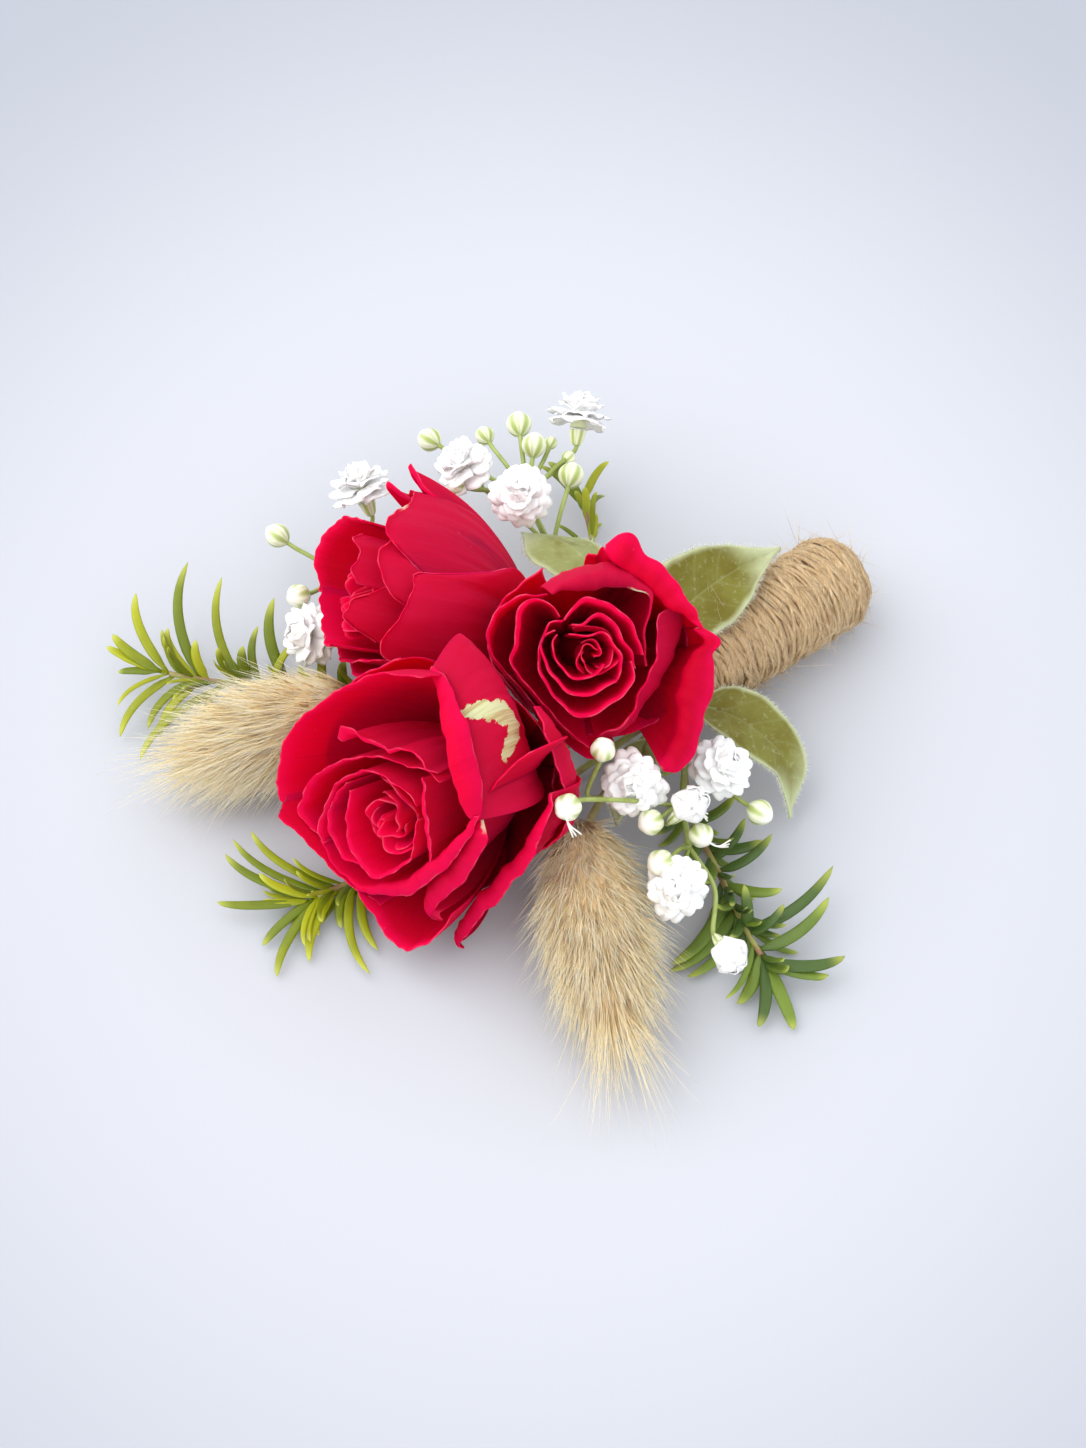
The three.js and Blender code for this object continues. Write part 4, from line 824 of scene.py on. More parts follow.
def petal_surface(p, rows, columns, ruffle, rng):
    """A petal in its rose's own frame. At a share t of the way from heel to rim, it stands at t times the
    rim's height, and its radius is the rim's times (t^0.9 (1 - belly) + (1 - (1 - t)^2.4)^0.8 belly)
    (1 + swell sin(pi t)). Past the rim it rolls over: at a share q of the rolled length it has bent by
    the roll's angle times 1 - (1 - q)^2. A torn patch follows a path of turns, shares and half widths.
    Returns the points and, for each, the share of the way to the edge, the distance across and that to
    the edge, how far it is a scar and how far torn."""
    turn, radius, height, rolled = np.array(p.rim, float).T
    turn = np.radians(turn)
    rim = np.column_stack([radius * np.cos(turn), radius * np.sin(turn), height, rolled])
    dense = curve_through(rim, 400)
    s = np.concatenate([[-1, -0.985], np.linspace(-0.96, 0.96, columns - 4), [0.985, 1]])
    x, y, height, rolled = (np.interp((s + 1) * 199.5, np.arange(400), part) for part in dense.T)
    radius, rolled = np.hypot(x, y), np.maximum(rolled, 0.15)
    outward = np.stack([x / radius, y / radius], axis=-1)
    across = np.concatenate([[0], np.cumsum(np.hypot(np.diff(x), np.diff(y)))])

    tall = np.hypot(radius, height)
    body = tall.mean() / (tall.mean() + rolled.max())
    turning = 6 + int(1.5 * rolled.max())
    q = np.linspace(0, 1, turning + 1)[1:]
    v = np.concatenate([np.linspace(0, body, rows - turning), body + (1 - body) * q])[:, None]
    t = np.minimum(v / body, 1)
    belly = t**0.9 * (1 - p.belly) + (1 - (1 - t) ** 2.4) ** 0.8 * p.belly
    swell = np.interp(s, (-1, 1), p.swell)
    r = radius * belly * (1 + swell * np.sin(np.pi * t))
    h = height * t

    first, second, third = rng.uniform(0, 2 * np.pi, 3)
    waves = np.sin(across * 0.75 + first) + 0.6 * np.sin(across * 1.7 + second)
    lift = np.sin(across * 1.1 + third) + 0.6 * np.sin(across * 2.6 + first)
    r = r + ruffle * p.ruffle * smooth(t, 0.45, 1) * waves
    h = h + ruffle * p.ruffle * t**3 * lift
    crease = 0.12 * np.sin(across * 2.1 + second) + 0.1 * np.sin(across * 3.7 + third)
    r = r + crease * np.sin(np.pi * t) ** 2

    q = np.clip((v - body) / (1 - body), 0, 1)
    step = np.diff(q, axis=0, prepend=0)
    lean = np.arctan2(radius * (0.9 * (1 - p.belly) - np.pi * swell), height)
    bent = lean + math.radians(p.roll) * (1 - (1 - q + 0.5 * step) ** 2)
    r = r + np.cumsum(rolled * np.sin(bent) * step, axis=0)
    h = h + np.cumsum(rolled * np.cos(bent) * step, axis=0)
    points = np.concatenate([outward * r[..., None], h[..., None]], axis=-1)
    to_edge = np.minimum((1 - v) * (tall + rolled), np.minimum(across, across[-1] - across) + 6 * (1 - t))
    scar = sum((np.exp(-(((s - place) / width) ** 4)) for place, width in p.scars), 0 * s)
    torn = np.full(r.shape, WHOLE)
    for aside, up, wide in curve_through(p.torn, 16) if p.torn else ():
        turn = (np.degrees(np.arctan2(y, x)) - aside + 180) % 360 - 180
        apart = np.hypot(np.radians(turn) * radius, (v - up) * (tall + rolled))
        torn = np.maximum(torn, 1.2 - (apart / wide) ** 2)
    return points, v, across, to_edge, scar, torn


def heart_surfaces(heart, rows, columns, rng):
    """The petals wound round the rose's middle, which leans to one side. All lie on one spiral, whose
    radius grows evenly with its turn. Each spans 205 degrees, starts under the one before and ends over
    the next."""
    span, step = 205, 118
    whole = 360 * heart.windings
    starts = np.arange(-40, whole - span * 0.6, step)
    s, v = np.linspace(-1, 1, columns)[None], np.linspace(0, 1, rows)[:, None]
    t = 0.3 + 0.7 * v
    aside = math.radians(heart.lean[0])
    for start in starts:
        gone = np.clip((start + span * (s + 1) / 2) / whole, 0, 1)
        turn = np.radians(heart.first + start + span * (s + 1) / 2)
        radius = 0.7 + (heart.outer - 0.7) * gone + 0.42 * s
        across = radius * (turn - turn.mean())
        radius = radius * (0.7 + 0.3 * smooth(t, 0.3, 0.7))
        phase = rng.uniform(0, 2 * np.pi)
        radius = radius + 0.2 * smooth(t, 0.6, 1) * np.sin(4 * turn + phase)
        radius = radius + (0.2 + 0.4 * gone) * smooth(t, 0.86, 1) ** 2 * (1 + 0.7 * s)
        rise = 1 - 0.04 * gone + 0.03 * np.sin(2.6 * turn) - 0.06 * np.abs(s) ** 5
        height = heart.height * t * (rise + 0.012 * np.sin(6 * turn + phase))
        radius, height = np.broadcast_arrays(np.maximum(radius, 0.25), height)
        x = radius * np.cos(turn) + heart.lean[1] * t**2 * math.cos(aside)
        y = radius * np.sin(turn) + heart.lean[1] * t**2 * math.sin(aside)
        to_edge = heart.height * (1 - t)
        yield np.stack([x, y, height], axis=-1), t, across, to_edge, 0.0, WHOLE


class BOUTONNIERE_OT_blooms(bpy.types.Operator):
    """Make the three blooms, petal by petal"""

    bl_idname = "boutonniere.blooms"
    bl_label = "Rose blooms"

    def execute(self, context):
        sizes, colours = context.scene.boutonniere_sizes, context.scene.boutonniere_colours
        thick, ruffle = sizes.petal / MM, sizes.ruffle / MM
        material = petal_finish(colours)
        rows, columns = ((38, 50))
        for name, rose in ROSES.items():
            rng = np.random.default_rng(rose.seed)
            base, directions = rose_frame(rose)
            surfaces = list(heart_surfaces(rose.heart, rows - 12, columns - 6, rng))
            # Painted shade for each surface, none on the heart's petals
            painted_shades = [0.0] * len(surfaces) + [each.shade for each in rose.petals]
            surfaces += [petal_surface(each, rows, columns, ruffle, rng) for each in rose.petals]
            skin = Skin("edge", "across", "rim", "scar", "torn", "petal", "shade", "face")
            for k, (points, edge, across, rim, scar, torn) in enumerate(surfaces):
                skin.blades(
                    pressed(base + points @ directions, rose.neighbours),
                    thick * (0.45 + 0.55 * np.minimum(rim / 5, 1)),
                    edge=edge, across=across, rim=rim, scar=scar, torn=torn, petal=3.1 * k, shade=painted_shades[k],
                )
            heights = rose.heart.height * np.array(HEART_CORE.share)
            radii = rose.heart.outer * np.array(HEART_CORE.breadth)
            core = turned(base, directions[2], heights, radii, 24)
            # The core takes the colour of a petal's heel, in its painted shade
            skin.rings(core, edge=0.1, rim=9.0, petal=70.0, torn=WHOLE)
            skin.piece(f"rose_{name}_bloom", material, "rose_petal", f"rose_{name}_petals")
        return {"FINISHED"}


def petal_finish(colours):
    """Rose petal: crimson with painted shade towards the heel, a duller back, fine veins that run from heel
    to rim, painted light on the margin with a painted highlight along the thin rim, painted shade on some
    petals, fine specks, cream scars where a rim is torn and bare tissue in a torn patch."""
    f = Finish("rose_petal", {
        "Specular IOR Level": 0.05, "Sheen Weight": 0.1, "Sheen Roughness": 0.4,
        "Sheen Tint": (1.0, 0.0, 0.16, 1), "Subsurface Weight": 0.4,
        "Subsurface Radius": (0.004, 0.0002, 0.0005), "Subsurface Scale": 1.0,
    })
    edge, across, rim = f.mark("edge"), f.mark("across"), f.mark("rim")
    kind, face, scar, torn = f.mark("petal"), f.mark("face"), f.mark("scar"), f.mark("torn")
    streak = f.noise(f.triple(across * 1.7, edge * 2.2, kind), 1.0, 4.0, 0.6)
    blotch = f.noise(f.place(), 160.0, 3.0)
    # Where along the rim the painted rim highlight shows
    rim_highlight_breaks = f.noise(f.triple(across * 0.5, kind * 2, 0.0), 1.0, 3.0)
    speck = f.smooth(f.noise(f.place(), 1400.0, 1.0), 0.76, 0.82) * f.smooth(blotch, 0.52, 0.64)
    ragged = f.noise(f.triple(across * 0.9, edge * 22, kind), 1.0, 5.0, 0.65)
    bare = f.smooth(torn + (ragged - 0.5) * 2.4, 0.5, 0.6) * (1 - face)
    # Painted shade: both faces darken towards the heel, deep in the bloom
    shade_and_vein = opaque(colours.petal_shade_and_vein)
    inner = f.mix(shade_and_vein, opaque(colours.petal), f.smooth(edge + (blotch - 0.5) * 0.2, 0.0, 0.65))
    colour = f.layers(
        shade_and_vein,
        (opaque(colours.petal_back), f.smooth(edge, 0.0, 0.5)),
        ((0.6, 0.015, 0.07, 1), f.smooth(streak, 0.5, 0.75) * 0.35),
        (inner, face),
        (shade_and_vein, f.smooth(streak, 0.55, 0.8) * 0.25),
        # Painted light: a brighter margin where light reaches, most on the inner face
        ((0.85, 0.002, 0.07, 1), f.smooth(rim, 4.0, 0.3) * (face * 0.4 + 0.15)),
        # Painted shade, away from the rim, on petals that lie less lit
        (shade_and_vein, f.mark("shade") * f.smooth(rim, 0.2, 3.0)),
        # Painted highlight along the thin rim, broken up along its length
        (opaque(colours.petal_rim_highlight), f.smooth(rim, 0.3, 0.05) * f.smooth(rim_highlight_breaks, 0.4, 0.65) * 0.55),
        ((0.85, 0.25, 0.3, 1), speck * 0.35),
        (f.mix(opaque(colours.torn), (0.46, 0.34, 0.15, 1), f.smooth(streak, 0.42, 0.62)), bare),
        ((0.86, 0.62, 0.42, 1), scar * f.smooth(rim + (streak - 0.5) * 1.2, 0.9, 0.5)),
    )
    return f.finish(colour, 0.55 + streak * 0.2, streak - bare * 0.8, 0.3, 0.0003)


def add_sepals(skin, base, directions):
    """Five sepals that fold back under the bloom. Each follows a spine, and at a share u of its length
    its half turn round the rose narrows by 1 - 0.75 u^4 while its radius waves a little."""
    u, s = np.linspace(0, 1, 18)[:, None], np.linspace(-1, 1, 7)[None]
    spine = curve_through(np.column_stack([SEPAL.ring, SEPAL.height, (0, 0, 0)]), 18)
    half = np.interp(u, (0, 0.4, 1), SEPAL.half_turn) * (1 - 0.75 * u**4)
    for k in range(SEPAL.count):
        angle = 2 * np.pi * (k + 0.5) / SEPAL.count + s * half
        ring = spine[:, :1] + 0.25 * np.sin(9 * u + k) * u
        local = np.stack([ring * np.cos(angle), ring * np.sin(angle), spine[:, 1:2] + 0 * angle], axis=-1)
        skin.blades(base + local @ directions, SEPAL.thickness, along=u * 6, around=s)


class BOUTONNIERE_OT_rose_stems(bpy.types.Operator):
    """Make each rose's stem, hip and folded-back sepals"""

    bl_idname = "boutonniere.rose_stems"
    bl_label = "Rose stems"

    def execute(self, context):
        colours = context.scene.boutonniere_colours
        material = green_finish("rose_green", colours.rose_green, (0.3, 0.36, 0.1), 0.5)
        for name, rose in ROSES.items():
            base, directions = rose_frame(rose)
            axis = directions[2]
            foot = base - HIP.length * axis
            inside = foot + 0.7 * HIP.swollen_at * axis
            turn = math.radians(rose.slot)
            path = curve_through([*slot_points(turn, STEM.rose_ring), *rose.stem, foot, inside], 48)
            skin = Skin("along", "around")
            skin.rings(tube(path, STEM.rose, 14), along=np.linspace(0, 40, 48)[:, None])
            u = np.linspace(0, 1, 12)
            top = HIP.length - HIP.core_depth - CLEARANCE
            radii = np.interp(u * top, (0, HIP.swollen_at, top), HIP.radii) + 0.15 * np.sin(np.pi * u)
            skin.rings(turned(foot, axis, u * top, radii, 20, 5, 0.04), along=3.0)
            add_sepals(skin, base, directions)
            skin.piece(f"rose_{name}_green", material, "rose_green", f"rose_{name}_stem")
        return {"FINISHED"}


def green_finish(name, colour, pale, rough):
    """Plant green with soft lengthwise streaks."""
    f = Finish(name, {
        "Specular IOR Level": 0.4, "Subsurface Weight": 0.05, "Subsurface Radius": (0.0004, 0.0006, 0.0002),
    })
    streak = f.noise(f.triple(f.mark("around") * 4, f.mark("along") * 0.3, 0.0), 2.0, 3.0)
    blotch = f.noise(f.place(), 300.0, 3.0)
    tint = f.mix(opaque(colour), opaque(pale), f.smooth(streak * 0.5 + blotch * 0.5, 0.4, 0.65))
    return f.finish(tint, rough + blotch * 0.15, streak, 0.2, 0.0001)


# Bunny-tail grass

# A head by the base and the tip of its axis, its thickest radius, the share of the usual length that its
# awns have, its slot in the handle, its stem's path and the neighbours that it presses on
TAILS = {
    "left": Sizes(
        base=(-39.5, 31.4, 7.8), tip=(-61, 38.2, 8.2), radius=6.6, awns=0.75, seed=11, slot=6,
        stem=((-8, 5, 3.6), (-20, 14.5, 1.1), (-31, 24, 2.8)),
        neighbours=(plane(*TABLE, 0.5, 1.5), below(*TAIL_AND_ROSEMARY, 0.2)),
    ),
    "front": Sizes(
        base=(-30.2, -10.2, 8.6), tip=(-46, -34.6, 8), radius=7, awns=1, seed=23, slot=8,
        stem=((-9, -1.2, 4.4), (-18, -4, 5.4)),
        neighbours=(plane(*TABLE, 0.5, 1.5),),
    ),
}
SPIKELETS = 420  # clumps of hairs on a head
AWNS = 560
# The core, the roots of the hairs and those of the awns, over the head's thickness, the turn in degrees
# from one spikelet to the next, the share of the hairs that stand loose and an awn's radius
DOWN = Sizes(core=0.86, roots=0.68, awn_roots=0.6, spiral=137.5, loose=0.22, awn=0.07)


def tail_thickness(radius, u):
    """Radius of a head's core at a share u of its length: radius sin(pi (0.14 + 0.82 u^0.9))^0.8."""
    return radius * np.sin(np.pi * (0.14 + 0.82 * u**0.9)) ** 0.8


def tail_line(tail):
    """A head's base, its length and its axis."""
    base, tip = np.array(tail.base, float), np.array(tail.tip, float)
    length = np.linalg.norm(tip - base)
    return base, length, (tip - base) / length


def on_head(tail, u, angle, depth):
    """Roots at shares u of a head's length and angles round it, and the ways out from its axis."""
    base, length, axis = tail_line(tail)
    out = spokes(axis, angle)
    thick = depth * tail_thickness(tail.radius, np.clip(u, 0, 1))
    return base + axis * (u * length)[:, None] + out * thick[:, None], out


def grow(skin, tail, roots, ways, lengths, bends, radius, shares, tone):
    """Hairs whose tips press on the head's neighbours."""
    straight = roots + ways * lengths[:, None]
    bends = pressed(straight + bends, tail.neighbours) - straight
    hairs(skin, roots, ways, lengths, radius, bends, shares, tone=tone)


def add_down(skin, tail, count, radius, rng):
    """Soft hairs in clumps, one for each spikelet on a spiral. A hair at a share u of the head leans out
    by 37 - 24 u degrees and is 6.5 - 3.2 u^2 mm long, and loose ones lean and reach further."""
    axis = tail_line(tail)[2]
    k = np.arange(SPIKELETS)
    share = -0.06 + 0.9 * (k + 0.5) / SPIKELETS
    turn = np.radians(DOWN.spiral * k)
    which = rng.integers(0, SPIKELETS, count)
    u = share[which] + rng.normal(0, 0.02, count)
    roots, out = on_head(tail, u, turn[which] + rng.normal(0, 0.09, count), DOWN.roots)
    loose = rng.uniform(0, 1, count) < DOWN.loose
    lean = rng.normal(0, 4, SPIKELETS)[which] + rng.normal(0, 5, count) + 9 * loose
    splay = np.radians(37 - 24 * u + lean)[:, None]
    twist = rng.normal(0, 0.1, SPIKELETS)[which] + rng.normal(0, 0.07, count)
    ways = unit(axis * np.cos(splay) + out * np.sin(splay) + np.cross(axis, out) * twist[:, None])
    lengths = (6.5 - 3.2 * u**2 + rng.normal(0, 0.8, count)) * (1 + (0.5 + 1.2 * u) * loose)
    bends = (-out * 0.12 + rng.normal(0, 0.06, (count, 3))) * lengths[:, None]
    tone = 0.5 + 0.2 * rng.normal(0, 1, SPIKELETS)[which] + 0.2 * rng.normal(0, 1, count)
    tone = np.repeat(np.clip(tone + 0.3 * loose, 0, 1)[:, None], 3, axis=1)
    grow(skin, tail, roots, ways, lengths, bends, radius, (0, 0.45), tone)


def add_awns(skin, tail, rng):
    """Long stiff hairs that lean less and reach further towards the head's tip."""
    axis = tail_line(tail)[2]
    u = rng.uniform(0.02, 1, AWNS) ** 0.42
    roots, out = on_head(tail, u, rng.uniform(0, 2 * np.pi, AWNS), DOWN.awn_roots)
    splay = np.radians(np.abs(rng.normal(30, 13, AWNS)) * (1 - 0.5 * u))[:, None]
    ways = unit(axis * np.cos(splay) + out * np.sin(splay))
    lengths = (rng.uniform(8, 13, AWNS) + rng.uniform(0, 12, AWNS) * u**3) * tail.awns
    bends = rng.normal(0, 0.09, (AWNS, 3)) * lengths[:, None]
    grow(skin, tail, roots, ways, lengths, bends, DOWN.awn, (0, 0.25, 0.5, 0.75), np.full((AWNS, 5), 0.9))


class BOUTONNIERE_OT_bunny_tails(bpy.types.Operator):
    """Make the two grass heads with their hairs and awns, and their stems"""

    bl_idname = "boutonniere.bunny_tails"
    bl_label = "Bunny tails"

    def execute(self, context):
        sizes, colours = context.scene.boutonniere_sizes, context.scene.boutonniere_colours
        count = sizes.hair_count // 1
        down = down_finish(colours)
        straw = green_finish("grass_straw", colours.straw, (0.55, 0.5, 0.24), 0.6)
        for name, tail in TAILS.items():
            rng = np.random.default_rng(tail.seed)
            base, length, axis = tail_line(tail)
            u = np.linspace(0, 1, 24)
            skin = Skin("along", "tone")
            core = turned(base, axis, u * length, DOWN.core * tail_thickness(tail.radius, u), 24)
            skin.rings(pressed(core, tail.neighbours), along=0.35, tone=0.5)
            add_down(skin, tail, count, sizes.hair / MM / 2, rng)
            add_awns(skin, tail, rng)
            skin.piece(f"bunny_tail_{name}_down", down, "tail_down", f"bunny_tail_{name}_head")

            path = curve_through([*thin_slot(tail.slot), *tail.stem, base - CLEARANCE * axis], 48)
            skin = Skin("along", "around")
            stalk = tube(path, STEM.thin * np.linspace(1, 0.85, 48), 12)
            skin.rings(stalk, along=np.linspace(0, 40, 48)[:, None])
            skin.piece(f"bunny_tail_{name}_straw", straw, "straw", f"bunny_tail_{name}_stem")
        return {"FINISHED"}


def down_finish(colours):
    """Soft cream hairs, darker at the root, with pale tips."""
    f = Finish("tail_down", {
        "Specular IOR Level": 0.3, "Sheen Weight": 0.8, "Sheen Roughness": 0.6,
        "Sheen Tint": (1.0, 0.84, 0.58, 1), "Subsurface Weight": 0.8,
        "Subsurface Radius": (0.003, 0.0024, 0.0015),
    })
    along, tone = f.mark("along"), f.mark("tone")
    base = f.mix((0.97, 0.64, 0.32, 1), opaque(colours.down), f.smooth(along, 0.0, 0.5))
    colour = f.mix(base, (1.0, 0.86, 0.62, 1), tone * f.smooth(along, 0.1, 1.0) * 0.8)
    return f.finish(colour, 0.6)


# Rosemary

# A sprig's twig by its path, the slot where it enters the handle and the share from where small needles
# grow. Each long needle by the share of the twig where it grows, and the pixel and the height of its tip
ROSEMARY = {
    "left": Sizes(
        slot=5, leaf_from=0.6, small=34, width=1.55, seed=5, dark=False,
        path=((-7, 7, 4.4), (-18, 17.5, 1.2), (-30, 31, 1.2), (-41, 43, 2.6), (-50, 50, 4.5), (-56, 56, 6.5)),
        tips=(
            (0.985, 136, 593, 11), (0.94, 188, 562, 12), (0.885, 222, 577, 11), (0.82, 274, 598, 10),
            (0.99, 107, 646, 7), (0.995, 113, 634, 9), (0.975, 120, 737, 1.5), (0.9, 140, 760, 1.5),
            (0.965, 168, 628, 10), (0.86, 258, 626, 8), (0.84, 303, 636, 8), (0.885, 218, 648, 9),
            (0.87, 243, 646, 8), (0.95, 148, 729, 2), (0.94, 160, 738, 1.5), (1, 118, 672, 6),
            (0.91, 205, 735, 1.5), (0.77, 330, 640, 7), (0.74, 345, 660, 6), (0.93, 196, 640, 9),
        ),
        neighbours=(plane(*TABLE, 0.5, 1), below(*BACK_UNDERSIDE, 0.5, 1)),
    ),
    "low": Sizes(
        slot=7, leaf_from=0.85, small=20, width=1.5, seed=9, dark=False,
        path=((-9, 1.6, 2.6), (-22, 3, 1), (-40, 6, 1), (-56, 10, 1.8), (-64, 11.5, 2.6)),
        tips=(
            (1, 217, 902, 3), (0.985, 225, 854, 5), (0.97, 233, 839, 6), (0.95, 251, 831, 6),
            (1, 263, 900, 3), (0.99, 263, 946, 1), (0.975, 277, 977, 1), (0.95, 310, 962, 1),
            (0.92, 370, 974, 1.5), (0.93, 342, 928, 1.5), (0.985, 259, 873, 5), (0.97, 292, 931, 1.5),
            (0.9, 378, 950, 1.5), (0.955, 322, 922, 3),
        ),
        neighbours=(plane(*TABLE, 0.5, 1), below(*FRONT_UNDERSIDE, 0.5, 1)),
    ),
    "right": Sizes(
        slot=9, leaf_from=0.6, small=34, width=1.9, seed=14, dark=True,
        path=((-6, -6.5, 5.2), (-12, -15, 2.4), (-16.5, -26, 2.6), (-20.5, -36, 3), (-22, -41, 3.4)),
        tips=(
            (0.92, 833, 866, 6), (0.97, 829, 897, 6), (1, 845, 956, 4), (1, 829, 975, 3), (0.93, 784, 904, 7),
            (0.81, 782, 889, 5), (0.78, 772, 834, 6), (0.72, 762, 840, 5), (1, 794, 1030, 1),
            (0.995, 758, 1027, 1.5), (0.98, 737, 1004, 1), (0.83, 671, 964, 2), (0.87, 669, 971, 1),
            (0.9, 687, 977, 1), (0.92, 744, 884, 8), (0.85, 716, 905, 8), (1, 789, 968, 6),
            (0.99, 763, 1004, 1.5), (0.75, 745, 818, 5), (0.7, 672, 870, 3), (0.66, 735, 795, 5),
        ),
        neighbours=(plane(*TABLE, 0.5, 1), below(*ROSEMARY_TOP, 0.5, 1)),
    ),
    "top": Sizes(
        slot=3, leaf_from=0.72, small=8, width=1.5, seed=31, dark=False,
        path=((-2.6, 8, 9), (3, 19, 5.5), (9, 29, 4), (14.5, 38, 5)),
        tips=(
            (1, 609, 461, 8), (0.94, 585, 487, 6), (0.9, 596, 513, 6), (0.97, 575, 491, 6),
            (0.99, 548, 462, 6), (0.98, 540, 466, 6),
        ),
        neighbours=(plane(*TABLE, 0.5, 1), below(*ROSEMARY_TOP, 0.5, 1)),
    ),
}


def needle_places(sprig, path, rng):
    """Feet, knees and tips of the needles: those that the photo shows, then small ones round the twig.
    Each sets out partly along the twig: its knee stands past its middle by 0.27 of its length along the
    twig and 0.05 of it upwards."""
    shares, tips = np.array(sprig.tips, float)[:, 0], [seen_at(*tip[1:]) for tip in sprig.tips]
    feet, along = point_on(path, shares)
    small_feet, small_along = point_on(path, rng.uniform(sprig.leaf_from, 0.995, sprig.small))
    out = unit(np.cross(small_along, rng.normal(0, 1, small_along.shape)))
    reach = rng.uniform(5, 11, (sprig.small, 1))
    small_tips = small_feet + reach * unit(small_along * 0.9 + out)
    feet, along = np.concatenate([feet, small_feet]), np.concatenate([along, small_along])
    tips = np.concatenate([np.array(tips), small_tips])
    long = np.linalg.norm(tips - feet, axis=1, keepdims=True)
    knees = (feet + tips) / 2 + long * (0.27 * along + [0, 0, 0.05])
    widths = np.where(np.arange(len(feet)) < len(sprig.tips), 1, 0.62) * rng.uniform(0.8, 1.1, len(feet))
    return feet, knees, tips, sprig.width * widths


def needles(skin, feet, knees, tips, widths, neighbours):
    """Narrow leaves. The middle line at a share u is foot (1 - u)^2 + 2 knee u (1 - u) + tip u^2. The
    section is a flat lens whose margins roll under and whose top has a groove, narrow at both ends."""
    u = np.linspace(0, 1, 14)[None, :, None]
    middle = feet[:, None] * (1 - u) ** 2 + 2 * knees[:, None] * u * (1 - u) + tips[:, None] * u**2
    middle = np.concatenate([middle[:, :1], pressed(middle[:, 1:], neighbours)], axis=1)
    lengths = np.linalg.norm(tips - feet, axis=1)
    along = unit(np.gradient(middle, axis=1))
    side = unit(np.cross([0, 0, 1.0], along))
    over = np.cross(along, side)
    turn = -angles_round(12)
    wide = (0.28 + 0.72 * smooth(u, 0, 0.22)) * (1 - u**3.5) ** 0.6 + 0.06
    x = np.cos(turn)
    y = np.where(np.sin(turn) > 0, 0.3, 0.42) * np.sin(turn) - 0.2 * x**2
    y = y - 0.2 * np.exp(-((x / 0.22) ** 2)) * (np.sin(turn) > 0)
    half = 0.5 * widths[:, None, None, None] * wide[..., None]
    grid = middle[:, :, None] + half * x[:, None] * side[:, :, None]
    grid = grid + half * y[:, None] * over[:, :, None]
    under = np.where(np.sin(turn) < -0.2, 1.0, 0.0)
    skin.rings(grid, along=u, under=under, tone=np.sin(lengths * 7)[:, None, None])


class BOUTONNIERE_OT_rosemary(bpy.types.Operator):
    """Make the four sprigs of rosemary"""

    bl_idname = "boutonniere.rosemary"
    bl_label = "Rosemary"

    def execute(self, context):
        colours = context.scene.boutonniere_colours
        finishes = {
            False: needle_finish("rosemary_bright", colours.rosemary),
            True: needle_finish("rosemary_dark", colours.rosemary_dark),
        }
        for name, sprig in ROSEMARY.items():
            path = curve_through([*thin_slot(sprig.slot), *sprig.path], 200)
            skin = Skin("along", "under", "tone", "twig")
            places = needle_places(sprig, path, np.random.default_rng(sprig.seed))
            needles(skin, *places, sprig.neighbours)
            skin.rings(tube(path[::4], STEM.thin * np.linspace(1, 0.6, 50), 10), twig=1.0)
            skin.piece(f"rosemary_{name}_sprig", finishes[sprig.dark], "rosemary", f"rosemary_{name}")
        return {"FINISHED"}


def needle_finish(name, green):
    """Glossy needles, yellower at the tip, with a pale underside, on a brown-green twig."""
    f = Finish(name, {
        "Specular IOR Level": 0.35, "Coat Weight": 0.06, "Coat Roughness": 0.3,
        "Subsurface Weight": 0.06, "Subsurface Radius": (0.0005, 0.0008, 0.0002),
    })
    along, under, tone, twig = f.mark("along"), f.mark("under"), f.mark("tone"), f.mark("twig")
    blotch = f.noise(f.place(), 260.0, 3.0)
    r, g, b = green
    colour = f.layers(
        (r * 0.45, g * 0.55, b * 0.8, 1),
        ((r * 1.25, g * 1.2, b * 1.1, 1), f.smooth(blotch * 0.5 + along * 0.4 + tone * 0.35, 0.1, 0.85)),
        ((0.62, 0.66, 0.12, 1), f.smooth(along, 0.7, 1.0) * 0.5),
        ((0.4, 0.48, 0.26, 1), under * 0.5),
        (f.mix((0.3, 0.17, 0.08, 1), (0.34, 0.34, 0.1, 1), f.smooth(blotch, 0.4, 0.62)), twig),
    )
    return f.finish(colour, 0.35 + blotch * 0.2, blotch, 0.15, 0.0001)


# Baby's breath


def twig(start, to, **rest):
    """A twig from point number start of its spray's main stem to a bud or a floret."""
    plain = dict(faces=None, via=None, bud=0, floret=None, half=False, styles=None)
    return Sizes(start=start, to=to, **{**plain, **rest})


